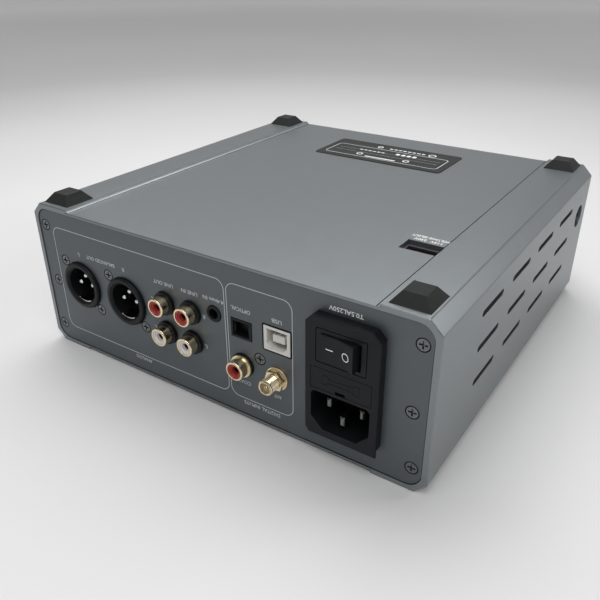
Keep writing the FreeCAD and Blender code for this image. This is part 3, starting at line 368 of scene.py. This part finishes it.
def rear_plane(x, z, lift=0.0):
    """Flat drawing plane on the rear panel: first axis to +X, second up, third out."""
    return Matrix(((1, 0, 0, x), (0, 0, 1, REAR_FACE + lift), (0, 1, 0, z), (0, 0, 0, 1)))


def upside_down_rear(x, z, lift=0.0):
    """The same for lettering, which stands on its head while the unit is upturned."""
    return Matrix(((1, 0, 0, x), (0, 0, 1, REAR_FACE + lift), (0, -1, 0, z), (0, 0, 0, 1)))


def underside_plane(x, y, lift=0.0):
    return Matrix.Translation((x, y, UNDERSIDE + lift))


def add_prism(bm, outline, low, high):
    """Closed prism from a flat outline between two heights."""
    bottom = [bm.verts.new((x, y, low)) for x, y in outline]
    top = [bm.verts.new((x, y, high)) for x, y in outline]
    count = len(outline)
    bm.faces.new(list(reversed(bottom)))
    bm.faces.new(top)
    for i in range(count):
        j = (i + 1) % count
        bm.faces.new((bottom[i], bottom[j], top[j], top[i]))


def add_band(bm, outer, inner, low, high):
    """Closed band between two outlines with the same number of corners."""
    rings = [[bm.verts.new((x, y, z)) for x, y in line] for line, z in
             ((outer, low), (outer, high), (inner, high), (inner, low))]
    count = len(outer)
    for k in range(4):
        ring, following = rings[k], rings[(k + 1) % 4]
        for i in range(count):
            j = (i + 1) % count
            bm.faces.new((ring[i], ring[j], following[j], following[i]))


def flat_piece(name, bm, plane, body, material):
    bm.transform(plane)
    return place(from_bmesh(name, bm), body, MATERIALS[material])


PRINT_T = 0.03 * MM         # ink stands this far proud
PRINT_ROOT = 0.05 * MM      # and is rooted this deep, so that it is a closed solid


def outline_print(name, plane, half_w, half_h, radius, line, body, slot, material):
    bm = bmesh.new()
    outer = rounded_outline(half_w + line / 2, half_h + line / 2, radius + line / 2)
    inner = rounded_outline(half_w - line / 2, half_h - line / 2, radius - line / 2)
    add_band(bm, outer, inner, -PRINT_ROOT, PRINT_T)
    return flat_piece(name, bm, plane, body, material)


def bars_print(name, plane, bars, body, slot, material):
    """Plain bars, each (x, y, width, height), that stand in for small lettering."""
    bm = bmesh.new()
    for x, y, width, height in bars:
        corner = min(width, height) * 0.3
        outline = [(x + a, y + b) for a, b in rounded_outline(width / 2, height / 2, corner, 2)]
        add_prism(bm, outline, -PRINT_ROOT, PRINT_T)
    return flat_piece(name, bm, plane, body, material)


def ring_print(name, plane, radius, line, body, slot, material):
    bm = bmesh.new()
    add_band(bm, circle(radius + line / 2, 40), circle(radius - line / 2, 40), -PRINT_ROOT, PRINT_T)
    return flat_piece(name, bm, plane, body, material)


def word_print(name, words, plane, width, cap, material, body="chassis", bold=0.012):
    """Flat lettering of the given overall width and capital height."""
    curve = bpy.data.curves.new(name, "FONT")
    curve.body = words
    curve.align_x = "CENTER"
    curve.align_y = "CENTER"
    curve.extrude = (PRINT_T + PRINT_ROOT) / 2
    curve.resolution_u = 3
    curve.offset = bold
    source = bpy.data.objects.new(name + "_source", curve)
    bpy.context.scene.collection.objects.link(source)
    bpy.context.view_layer.update()
    mesh = bpy.data.meshes.new_from_object(source.evaluated_get(bpy.context.evaluated_depsgraph_get()))
    bpy.data.objects.remove(source)
    xs = [v.co.x for v in mesh.vertices]
    ys = [v.co.y for v in mesh.vertices]
    scale_x = width / (max(xs) - min(xs))
    scale_y = cap / (max(ys) - min(ys))
    bm = bmesh.new()
    bm.from_mesh(mesh)
    bpy.data.meshes.remove(mesh)
    centre = Matrix.Translation((-(max(xs) + min(xs)) / 2, -(max(ys) + min(ys)) / 2, 0))
    sink = Matrix.Translation((0, 0, (PRINT_T - PRINT_ROOT) / 2))
    bm.transform(plane @ sink @ Matrix.Diagonal((scale_x, scale_y, 1, 1)) @ centre)
    bmesh.ops.remove_doubles(bm, verts=bm.verts, dist=0.0000005)
    return place(from_bmesh(name, bm), body, MATERIALS[material])


def turned_piece(profile, axis_x, axis_z, steps=64, thread=None):
    """Solid of revolution along Y from (y, radius) points; thread is (start, end, pitch, depth)."""
    rows = []
    for (y0, r0), (y1, r1) in zip(profile, profile[1:]):
        rows.append((y0, r0))
        if thread and abs(r1 - r0) < 1e-9 and y0 <= thread[0] and y1 >= thread[1]:
            count = max(2, round((thread[1] - thread[0]) / thread[2] * 8))
            rows += [(thread[0] + (thread[1] - thread[0]) * i / count, r0) for i in range(count + 1)]
    rows.append(profile[-1])
    bm = bmesh.new()
    rings = []
    for y, radius in rows:
        ring = []
        for i in range(steps):
            angle = math.tau * i / steps
            r = radius
            if thread and thread[0] <= y <= thread[1] and abs(radius - thread[4]) < 1e-9:
                phase = ((y - thread[0]) / thread[2] + i / steps) % 1.0
                fade = min(1.0, (y - thread[0]) / thread[2], (thread[1] - y) / thread[2])
                r = radius - thread[3] * abs(2 * phase - 1) * fade
            ring.append(bm.verts.new((axis_x + r * math.cos(angle), y, axis_z + r * math.sin(angle))))
        rings.append(ring)
    for ring, following in zip(rings, rings[1:]):
        for i in range(steps):
            j = (i + 1) % steps
            bm.faces.new((ring[i], ring[j], following[j], following[i]))
    bm.faces.new(rings[0])
    bm.faces.new(list(reversed(rings[-1])))
    bmesh.ops.remove_doubles(bm, verts=bm.verts, dist=0.0000005)
    return bm


# ---- case, panels, feet, label ----------------------------------------------------------
def make_case():
    refine("case_shell", 0.1, 2)
    refine("rear_panel", 0.1, 2)
    refine("front_panel", 0.1, 2)
    for node in ("rear_panel_screws", "front_panel_screws", "connector_screws"):
        refine(node, 0.07, 2)
    for end in ("rear", "front"):
        for side in ("left", "right"):
            refine("foot_%s_%s" % (end, side), 0.25, 3)
    make_screw_shadows()
    refine("underside_label", 0.0)
    make_rail_fillets()
    make_slot_shade_sheets()


def island_centres(node):
    """Middle of each separate solid of a node."""
    bm = bmesh.new()
    bm.from_mesh(NODES[node].data)
    bmesh.ops.remove_doubles(bm, verts=bm.verts, dist=0.0000005)
    centres = []
    left = set(bm.verts)
    while left:
        island = {left.pop()}
        front = list(island)
        while front:
            for edge in front.pop().link_edges:
                for vert in edge.verts:
                    if vert not in island:
                        island.add(vert)
                        front.append(vert)
        left -= island
        spans = [(min(v.co[k] for v in island) + max(v.co[k] for v in island)) / 2 for k in range(3)]
        centres.append(Vector(spans))
    bm.free()
    return centres


def make_screw_shadows():
    """Painted shade: dark ring for the shade in the open countersink round each screw head on the rear
    panel.
    """
    centres = [c for node in ("rear_panel_screws", "connector_screws") for c in island_centres(node)
               if c.y > 0]
    for i, centre in enumerate(sorted(centres, key=lambda c: (round(c.x, 5), round(c.z, 5)))):
        ring_print("screw_shadow_%d" % i, rear_plane(centre.x, centre.z), 2.5 * MM, 0.45 * MM,
                   "chassis", "screw_steel", "painted_shade_black")


def make_rail_fillets():
    """Sloping fillet at the foot of both rails, painted lighter than the case as a painted highlight, with a
    painted shadow line along the gap where the sunk sheet meets it.
    """
    case = box("case_shell")
    top = RAIL_TOP - 0.05 * MM
    foot = UNDERSIDE - 0.05 * MM
    fillets = bmesh.new()
    seams = bmesh.new()
    for side in (-1, 1):
        rail = side * (RAIL_FOOT + 0.05 * MM)
        slope = [(rail, foot), (rail, top), (rail - side * 0.2 * MM, top),
                 (rail - side * 1.1 * MM, UNDERSIDE + 0.08 * MM), (rail - side * 1.15 * MM, foot)]
        add_strip(fillets, slope, case[0].y + 0.4 * MM, case[1].y - 0.4 * MM)
        near = rail - side * 1.1 * MM
        far = rail - side * 1.55 * MM
        # painted shadow: a near-black strip on the sunk sheet just beyond each rail, for the shade along the
        # gap
        seam_shadow = [(near, foot), (near, UNDERSIDE + PRINT_T), (far, UNDERSIDE + PRINT_T), (far, foot)]
        add_strip(seams, seam_shadow, case[0].y + 0.4 * MM, case[1].y - 0.4 * MM)
    # the fillets carry a lighter metal as a painted highlight on the lit rail walls
    place(from_bmesh("rail_fillets", fillets), "chassis", MATERIALS["painted_highlight_metal"])
    place(from_bmesh("rail_seam_shadows", seams), "chassis", MATERIALS["painted_shade_black"])


def add_strip(bm, section, start, end):
    """Closed bar along Y from a cross-section of (x, z) points."""
    rings = [[bm.verts.new((x, y, z)) for x, z in section] for y in (start, end)]
    count = len(section)
    bm.faces.new(rings[0])
    bm.faces.new(list(reversed(rings[1])))
    for i in range(count):
        j = (i + 1) % count
        bm.faces.new((rings[0][j], rings[0][i], rings[1][i], rings[1][j]))


def make_slot_shade_sheets():
    """Painted shade: dark sheet close behind the side slots, where the case is in shade."""
    case = box("case_shell")
    bm = bmesh.new()
    for side, edge in ((-1, case[0].x), (1, case[1].x)):
        inner = edge - side * 2.9 * MM
        deeper = edge - side * 3.2 * MM
        sheet = [(inner, 19 * MM), (inner, 66 * MM), (deeper, 66 * MM), (deeper, 19 * MM)]
        add_strip(bm, sheet, -63 * MM, 72 * MM)
    place(from_bmesh("slot_shade_sheets", bm), "chassis", MATERIALS["painted_shade_black"])


def in_mm(bars):
    return [tuple(value * MM for value in bar) for bar in bars]


def make_label_print():
    """Thin frame, two rules and plain bars and rings in place of the label's wording."""
    centre = middle("underside_label")
    plane = Matrix.Translation((centre.x, centre.y, box("underside_label")[1].z))
    ink = ("chassis", "label_grey")
    outline_print("label_frame", plane @ Matrix.Translation((0, 2.5 * MM, 0)), 33.6 * MM, 9.2 * MM,
                  2.2 * MM, 0.34 * MM, *ink, "print_white")
    rules = [(0, 3.9, 62.0, 0.16), (0, -0.4, 62.0, 0.14)]
    bars_print("label_rules", plane, in_mm(rules), *ink, "print_grey")
    bold = [(0.0, 9.6, 18.4, 1.4)] + [(-15.2 + 3.3 * i, -2.2, 2.3, 2.8) for i in range(4)]
    bars_print("label_bold_bars", plane, in_mm(bold), *ink, "print_white")
    small = [(-17.0 + 2.8 * i, -10.1, 2.1, 1.3) for i in range(8)]
    small += [(3.4 + 2.7 * i, -0.9, 1.9, 1.3) for i in range(6)]
    bars_print("label_small_bars", plane, in_mm(small), *ink, "print_white")
    rings = {"near_left": (13.8, 6.9, 1.5), "near_right": (-14.5, 7.1, 1.5),
             "far_left": (9.7, -10.4, 1.3), "far_right": (-22.4, -10.0, 1.9)}
    for name, (x, y, radius) in rings.items():
        spot = plane @ Matrix.Translation((x * MM, y * MM, 0))
        ring_print("label_ring_" + name, spot, radius * MM, 0.75 * MM, *ink, "print_white")


# ---- rear sockets -----------------------------------------------------------------------
def make_rear_sockets():
    for side in ("left", "right"):
        refine("xlr_housing_" + side, 0.08, 2)
    refine("xlr_contacts", 0.06, 2)
    refine("rca_block", 0.1, 2)
    refine("rca_shells", 0.06, 2)
    refine("coax_shell", 0.06, 2)
    refine("coax_body", 0.1, 2)
    for node in ("rca_insulators_red", "rca_insulators_white", "coax_insulator"):
        refine(node, 0.08, 2)
    refine("balanced_in_jack", 0.08, 2)
    refine("optical_receiver", 0.12, 2)
    refine("optical_shutter", 0.06, 2)
    refine("usb_socket", 0.12, 2)
    refine("usb_tongue", 0.08, 2)
    refine("antenna_nut", 0.15, 3)
    refine("antenna_washer", 0.12, 2)
    make_antenna_socket()
    make_phono_collars()
    make_phono_contacts()
    make_optical_keyway()
    make_usb_contacts()
    make_usb_shade_outline()


def phono_axes():
    """Centre line (x, z) of each of the five phono sockets, from the coloured sleeves."""
    axes = []
    for node in ("rca_insulators_red", "rca_insulators_white", "coax_insulator"):
        low, high = box(node)
        radius = (high.z - low.z) / 2
        z = low.z + radius
        axes += [(x, z) for x in socket_columns(low, high, radius)]
    return axes


def socket_columns(low, high, radius):
    """Centre lines across a node of one round socket, or of two side by side."""
    first, last = low.x + radius, high.x - radius
    return [first, last] if last - first > 1 * MM else [first]


def make_phono_collars():
    """Stepped coloured ring that closes the mouth of each phono socket."""
    for node, shell in (("rca_insulators_red", "rca_shells"), ("rca_insulators_white", "rca_shells"),
                        ("coax_insulator", "coax_shell")):
        low, high = box(node)
        radius = (high.z - low.z) / 2
        z = low.z + radius
        tip = box(shell)[1].y
        bm = bmesh.new()
        for x in socket_columns(low, high, radius):
            for outer, inner, back, front in ((3.29, 2.5, 1.5, 0.45), (2.55, 1.75, 2.2, 0.95)):
                ring = bmesh.new()
                add_band(ring, circle(outer * MM, 48), circle(inner * MM, 48), -back * MM, -front * MM)
                ring.transform(rear_plane(x, z, tip - REAR_FACE))
                absorb(bm, ring)
        slot = SLOT_OF[node]
        place(from_bmesh(node + "_collar", bm), "chassis", MATERIALS[slot])


def make_phono_contacts():
    """Sprung tube down the middle of every phono socket; its dark colour is painted shade for the inside of
    the hole.
    """
    mouth = box("coax_insulator")[1].y - 1.3 * MM
    bm = bmesh.new()
    for x, z in phono_axes():
        tube = bmesh.new()
        add_band(tube, circle(1.63 * MM, 40), circle(1.3 * MM, 40), -9.0 * MM, 0.0)
        add_prism(tube, circle(1.4 * MM, 40), -9.4 * MM, -9.0 * MM)
        tube.transform(rear_plane(x, z, mouth - REAR_FACE))
        absorb(bm, tube)
    place(from_bmesh("phono_contacts", bm), "chassis", MATERIALS["contact_painted_shade"])


THREAD_PITCH = 25.4 / 36 * MM
THREAD_DEPTH = 0.3 * MM


def make_antenna_socket():
    """Barrel with its real thread; what is behind the panel comes from the CAD node."""
    centre = middle("antenna_nut")
    nut_face = box("antenna_nut")[1].y
    tip = box("antenna_socket")[1].y
    crest = 3.17 * MM
    bore = 2.3 * MM
    profile = [
        (REAR_FACE - 0.4 * MM, 0.0), (REAR_FACE - 0.4 * MM, 2.89 * MM), (nut_face + 0.15 * MM, 2.89 * MM),
        (nut_face + 0.15 * MM, crest), (tip - 0.45 * MM, crest), (tip - 0.2 * MM, 2.85 * MM),
        (tip, 2.8 * MM), (tip, 2.45 * MM), (tip - 0.15 * MM, bore), (tip - 2.5 * MM, bore),
        (tip - 2.5 * MM, 0.7 * MM), (tip - 0.8 * MM, 0.7 * MM), (tip - 0.65 * MM, 0.6 * MM),
        (tip - 0.65 * MM, 0.36 * MM), (tip - 1.6 * MM, 0.3 * MM), (tip - 1.6 * MM, 0.0),
    ]
    thread = (nut_face + 0.15 * MM, tip - 0.45 * MM, THREAD_PITCH, THREAD_DEPTH, crest)
    bm = turned_piece(profile, centre.x, centre.z, 56, thread)
    back = cleaned("antenna_socket")
    cut = bmesh.ops.bisect_plane(back, geom=back.verts[:] + back.edges[:] + back.faces[:],
                                 plane_co=(0, REAR_FACE - 0.4 * MM, 0), plane_no=(0, 1, 0), clear_outer=True)
    rim = [e for e in cut["geom_cut"] if isinstance(e, bmesh.types.BMEdge)]
    bmesh.ops.holes_fill(back, edges=rim)
    absorb(bm, back)
    obj = from_bmesh("antenna_socket_finished", bm)
    place(obj, "chassis", MATERIALS["gilt"], ["antenna_socket"])
    disc = bmesh.new()
    add_band(disc, circle(2.28 * MM, 40), circle(0.72 * MM, 40), -0.6 * MM, 0.0)
    plane = rear_plane(centre.x, centre.z, tip - 1.5 * MM - REAR_FACE)
    flat_piece("antenna_insulator", disc, plane, "chassis", "frost_glass")


def make_optical_keyway():
    """Frame with small side keys just inside the optical socket's mouth."""
    low, high = box("optical_receiver")
    centre_x = (low.x + high.x) / 2
    half_w, half_h = 4.0 * MM, 3.2 * MM
    bm = bmesh.new()
    key = 0.55 * MM
    right = [(half_w - 0.3 * MM, -half_h + 1.1 * MM), (half_w - key - 0.3 * MM, -half_h + 1.7 * MM),
             (half_w - key - 0.3 * MM, half_h - 1.9 * MM), (half_w - 0.3 * MM, half_h - 1.3 * MM)]
    top = [(half_w - 1.3 * MM, half_h - 0.3 * MM)]
    inner = [(half_w - 1.0 * MM, -half_h + 0.3 * MM)] + right + top
    inner += [(-x, z) for x, z in reversed(inner)]
    outer = []
    for x, z in inner:
        reach = max(abs(x) / half_w, abs(z) / half_h)
        outer.append((x / reach, z / reach))
    add_band(bm, outer, inner, -0.5 * MM, 0.0)
    nose_low, nose_high = nose_rows("optical_receiver")
    plane = rear_plane(centre_x, (nose_low + nose_high) / 2, high.y - 0.7 * MM - REAR_FACE)
    flat_piece("optical_keyway", bm, plane, "chassis", "connector_black")


def nose_rows(node):
    """Lowest and highest z of the front nose, which is where the socket shows."""
    face = box(node)[1].y
    rows = [v.co.z for v in NODES[node].data.vertices if v.co.y > face - 0.01 * MM]
    return min(rows), max(rows)


def make_usb_contacts():
    """Two pairs of contact strips on the tongue of the square socket."""
    low, high = box("usb_tongue")
    bm = bmesh.new()
    for side in (-1, 1):
        z = high.z if side > 0 else low.z
        for u in (-1.25, 1.25):
            x = (low.x + high.x) / 2 + u * MM
            outline = [(x - 0.5 * MM, high.y - 4.0 * MM), (x + 0.5 * MM, high.y - 4.0 * MM),
                       (x + 0.5 * MM, high.y - 0.6 * MM), (x - 0.5 * MM, high.y - 0.6 * MM)]
            add_prism(bm, outline, z - 0.06 * MM, z + 0.06 * MM)
    place(from_bmesh("usb_contacts", bm), "chassis", MATERIALS["contact_metal"])


def make_usb_shade_outline():
    """Painted shade: dark outline round the square socket, for the shade in the gap round it."""
    socket = box("usb_socket")
    nose_low, nose_high = nose_rows("usb_socket")
    plane = rear_plane((socket[0].x + socket[1].x) / 2, (nose_low + nose_high) / 2)
    outline_print("usb_shade_outline", plane, (socket[1].x - socket[0].x) / 2 + 0.4 * MM,
                  (nose_high - nose_low) / 2 + 0.4 * MM, 0.5 * MM, 0.8 * MM,
                  "chassis", "connector_black", "painted_shade_black")


# ---- mains module -----------------------------------------------------------------------
def make_mains_module():
    refine("power_module", 0.18, 3)
    refine("inlet_pins", 0.12, 2, "pin_metal_painted_glints")
    refine("mains_rocker", 0.12, 2)
    refine("fuse_drawer", 0.1, 2)
    refine("voltage_selector", 0.1, 2)
    refine("voltage_selector_slider", 0.1, 2)
    # The side port is painted near black as painted shade in its opening.
    refine("update_port", 0.1, 2, "painted_shade_black")
    make_rocker_marks()
    make_fuse_mark()


def rocker_face(side):
    """Centre and frame of the rocker's left (+1) or right (-1) sloping half."""
    mesh = NODES["mains_rocker"].data
    axis_x = middle("mains_rocker").x
    area, centre, normal = 0.0, Vector(), Vector()
    for face in mesh.polygons:
        if face.normal.y > 0.85 and (face.center.x - axis_x) * side > 0.5 * MM and face.area > 1e-6:
            area += face.area
            centre += face.center * face.area
            normal += face.normal * face.area
    normal.normalize()
    up = Vector((0, 0, 1))
    across = up.cross(normal).normalized() * -1
    centre /= area
    matrix = Matrix((across, up, normal)).transposed().to_4x4()
    matrix.translation = centre
    return matrix


def make_rocker_marks():
    bars_print("rocker_dash", rocker_face(1), [(0, 0, 3.0 * MM, 0.34 * MM)],
               "rocker", "label_grey", "print_white")
    ring_print("rocker_ring", rocker_face(-1), 1.5 * MM, 0.34 * MM, "rocker", "label_grey", "print_white")


def make_fuse_mark():
    """Raised sign for a cartridge fuse on the drawer's face."""
    low, high = box("fuse_drawer")
    plane = rear_plane((low.x + high.x) / 2, (low.z + high.z) / 2, high.y - REAR_FACE)
    bm = bmesh.new()
    line = 0.3 * MM
    proud = 0.12 * MM
    for x in (-6.4 * MM, 6.4 * MM):
        outer = [(x + a, b) for a, b in rounded_outline(1.5 * MM, 2.0 * MM, 0.3 * MM, 2)]
        inner = [(x + a, b) for a, b in rounded_outline(1.5 * MM - line, 2.0 * MM - line, 0.1 * MM, 2)]
        add_band(bm, outer, inner, -PRINT_ROOT, proud)
    for z in (-0.9 * MM, 0.9 * MM):
        lead = [(a, z + b) for a, b in rounded_outline(4.95 * MM, line / 2, 0.1 * MM, 2)]
        add_prism(bm, lead, -PRINT_ROOT, proud)
    flat_piece("fuse_sign", bm, plane, "fuse_tray", "module_black")


# ---- front controls ---------------------------------------------------------------------
def make_front():
    refine("volume_knob", 0.15, 3)
    refine("volume_light_ring", 0.15, 2)
    for node in ("headphone_jack_635", "headphone_jack_44", "headphone_xlr"):
        refine(node, 0.12, 2)
    refine("headphone_xlr_latch", 0.12, 2)
    refine("toggle_bodies", 0.08, 2)
    refine("gain_toggle", 0.0)
    refine("output_toggle", 0.0)
    refine("input_button", 0.0)
    refine("indicator_lens", 0.1, 2)


# ---- printing on the panels ---------------------------------------------------------------
def make_rear_print():
    """Two thin frames and the names of the sockets, each placed from the socket it names."""
    panel_low, panel_high = box("rear_panel")
    ink = ("chassis", "label_grey", "print_grey")
    line = 0.32 * MM
    low_z, high_z = panel_low.z + 7.8 * MM, panel_high.z - 7.5 * MM
    analogue_left = panel_high.x - 8.3 * MM
    jack = middle("balanced_in_jack")
    analogue_right = jack.x - 5.6 * MM
    usb = middle("usb_socket")
    digital_left = analogue_right - 1.2 * MM
    digital_right = usb.x - 7.0 * MM
    frames = (("analogue", analogue_left, analogue_right), ("digital", digital_left, digital_right))
    for name, x0, x1 in frames:
        plane = rear_plane((x0 + x1) / 2, (low_z + high_z) / 2)
        outline_print("frame_" + name, plane, abs(x0 - x1) / 2, (high_z - low_z) / 2, 4.0 * MM, line, *ink)

    xlr_left, xlr_right = middle("xlr_housing_left"), middle("xlr_housing_right")
    reds, whites = box("rca_insulators_red"), box("rca_insulators_white")
    radius = (reds[1].z - reds[0].z) / 2
    red_z, white_z = (reds[0].z + reds[1].z) / 2, (whites[0].z + whites[1].z) / 2
    out_x, in_x = reds[1].x - radius, reds[0].x + radius
    optical = middle("optical_receiver")
    coax = middle("coax_insulator")
    aerial = middle("antenna_nut")
    module = box("power_module")
    names_z = nose_rows("optical_receiver")[1] + 4.5 * MM
    frames_z = low_z - 1.9 * MM
    words = [
        ("word_left_channel", "L", xlr_left.x, names_z, 1.2, 1.7),
        ("word_balanced_out", "BALANCED OUT", (xlr_left.x + xlr_right.x) / 2, names_z + 0.3 * MM, 18.0, 1.7),
        ("word_right_channel", "R", xlr_right.x, names_z, 1.3, 1.7),
        ("word_line_out", "LINE OUT", out_x, names_z, 11.0, 1.7),
        ("word_line_in", "LINE IN", in_x, names_z, 8.6, 1.7),
        ("word_balanced_in", "4.4mm IN", jack.x, names_z + 0.4 * MM, 10.6, 1.7),
        ("word_red_out", "R", out_x + 7.4 * MM, red_z, 1.3, 1.7),
        ("word_red_in", "R", in_x - 6.9 * MM, red_z, 1.3, 1.7),
        ("word_white_out", "L", out_x + 7.4 * MM, white_z, 1.2, 1.7),
        ("word_white_in", "L", in_x - 6.9 * MM, white_z, 1.2, 1.7),
        ("word_optical", "OPTICAL", optical.x, names_z, 9.5, 1.7),
        ("word_usb", "USB", usb.x, names_z + 0.3 * MM, 4.6, 1.7),
        ("word_coax", "COAX", coax.x, coax.z - 8.3 * MM, 7.0, 1.7),
        ("word_aerial", "ANT", aerial.x, aerial.z - 8.9 * MM, 3.6, 1.7),
        ("word_analogue", "ANALOG", (analogue_left + analogue_right) / 2, frames_z, 10.0, 1.7),
        ("word_digital", "DIGITAL INPUTS", (digital_left + digital_right) / 2, frames_z, 18.0, 1.7),
    ]
    for name, text, x, z, width, cap in words:
        word_print(name, text, upside_down_rear(x, z), width * MM, cap * MM, "print_grey")
    word_print("word_fuse_rating", "T0.5AL250V", upside_down_rear((module[0].x + module[1].x) / 2 + 1.0 * MM,
               module[1].z + 2.2 * MM), 13.6 * MM, 1.8 * MM, "print_white")


def make_underside_print():
    """Two lines of generic lettering in front of the voltage selector's window."""
    left, right, edge = cover_window()
    x = (left + right) / 2 + 0.7 * MM
    rows = [("word_voltage", "VOLTAGE SELECT", -5.4, 16.1), ("word_volts", "115V  230V", -2.4, 11.8)]
    for name, text, dy, width in rows:
        plane = underside_plane(x, edge + dy * MM)
        word_print(name, text, plane, width * MM, 1.9 * MM, "print_white", bold=0.02)


def cover_window():
    """Left, right and front edge of the selector's window, from its visible face."""
    top = box("voltage_selector")[1].z
    face = [v.co for v in NODES["voltage_selector"].data.vertices if v.co.z > top - 0.01 * MM]
    return min(v.x for v in face), max(v.x for v in face), min(v.y for v in face)


def paint_inside():
    """The nodes that stay as they are, mostly inside the case, get their materials."""
    for node, obj in NODES.items():
        if not obj.hide_render:
            obj.data.materials.clear()
            obj.data.materials.append(MATERIALS[SLOT_OF[node]])


make_case()
make_label_print()
make_rear_sockets()
make_mains_module()
make_front()
make_rear_print()
make_underside_print()
paint_inside()


# ---- stage ------------------------------------------------------------------------------
def make_stage():
    """Pale floor that turns up into a low round wall far from the object, painted darker away from the
    middle as painted shade and glowing more far out as painted light.
    """
    graph = Graph("stage_painted_falloff")
    tone = graph.spread(graph.noise(3.0, 3.0), 0.0, 1.0)
    # painted shade: the floor colour darkens from near to far with the distance from the middle
    near = graph.blend(tone, (0.71, 0.71, 0.71), (0.75, 0.75, 0.75))
    far = graph.blend(tone, (0.44, 0.44, 0.44), (0.46, 0.46, 0.46))
    reach = graph.add("ShaderNodeVectorMath", operation="LENGTH")
    graph.join(graph.place, reach.inputs[0])
    away = reach.outputs["Value"]
    graph.join(graph.blend(graph.spread(away, 0.0, 1.0, 0.3, 0.75), near, far),
               graph.shader.inputs["Base Color"])
    # painted light: beyond 0.9 m the floor glows more and more, though it is no lamp
    graph.shader.inputs["Emission Color"].default_value = (1.0, 1.0, 1.0, 1.0)
    graph.join(graph.spread(away, 0.0, 0.24, 0.9, 2.0), graph.shader.inputs["Emission Strength"])
    graph.shader.inputs["Roughness"].default_value = 0.75
    rows = [(0.0, 0.0), (0.5, 0.0), (1.0, 0.0), (1.5, 0.0), (2.0, 0.0), (2.5, 0.0)]
    for i in range(1, 13):
        angle = math.radians(90) * i / 12
        rows.append((2.5 + 0.9 * math.sin(angle), 0.9 * (1 - math.cos(angle))))
    rows.append((3.4, 1.8))
    steps = 96
    bm = bmesh.new()
    rings = [[bm.verts.new((r * math.cos(math.tau * i / steps), r * math.sin(math.tau * i / steps), z))
              for i in range(steps)] for r, z in rows[1:]]
    hub = bm.verts.new((0, 0, 0))
    for i in range(steps):
        bm.faces.new((hub, rings[0][i], rings[0][(i + 1) % steps]))
    for ring, following in zip(rings, rings[1:]):
        for i in range(steps):
            j = (i + 1) % steps
            bm.faces.new((ring[i], following[i], following[j], ring[j]))
    for face in bm.faces:
        face.smooth = True
    mesh = bpy.data.meshes.new("stage_floor")
    bm.to_mesh(mesh)
    bm.free()
    floor = bpy.data.objects.new("stage_floor", mesh)
    bpy.context.scene.collection.objects.link(floor)
    mesh.materials.append(graph.material)


def area_light(name, location, target, width, height, power):
    light = bpy.data.lights.new(name, "AREA")
    light.shape = "RECTANGLE"
    light.size = width
    light.size_y = height
    light.energy = power
    obj = bpy.data.objects.new(name, light)
    obj.location = location
    obj.rotation_mode = "QUATERNION"
    obj.rotation_quaternion = (Vector(target) - Vector(location)).to_track_quat("-Z", "Y")
    bpy.context.scene.collection.objects.link(obj)


def make_lights():
    area_light("back_light", (0.45, -0.42, 1.3), (-0.2, 0.35, 0), 1.4, 1.1, 16.5)
    area_light("front_light", (-0.4, 0.7, 1.2), (-0.4, 0.65, 0), 1.2, 0.9, 9.5)
    area_light("side_light", (-1.0, -0.9, 0.76), (0, 0.05, 0.05), 0.6, 0.5, 3.4)
    world = bpy.data.worlds.new("studio")
    world.use_nodes = True
    world.node_tree.nodes["Background"].inputs["Color"].default_value = (0.62, 0.62, 0.62, 1)
    world.node_tree.nodes["Background"].inputs["Strength"].default_value = 0.24
    bpy.context.scene.world = world
    bpy.context.scene.view_settings.view_transform = "Standard"


def make_camera():
    """Behind the unit, to the right and above, level to a quarter of a degree."""
    camera = bpy.data.cameras.new("main_camera")
    camera.sensor_width = 36.0
    camera.lens = 39.84
    camera.clip_start = 0.01
    camera.clip_end = 20.0
    obj = bpy.data.objects.new("main_camera", camera)
    back = Vector((-0.49137, 0.72997, 0.47509)).normalized()
    right = Vector((-0.83077, -0.55659, -0.00404)).normalized()
    up = back.cross(right)
    obj.location = (-0.16115, REAR_FACE + 0.1707, 0.1752)
    obj.rotation_mode = "QUATERNION"
    obj.rotation_quaternion = Matrix((right, up, back)).transposed().to_quaternion()
    bpy.context.scene.collection.objects.link(obj)
    bpy.context.scene.camera = obj


make_stage()
make_lights()
make_camera()
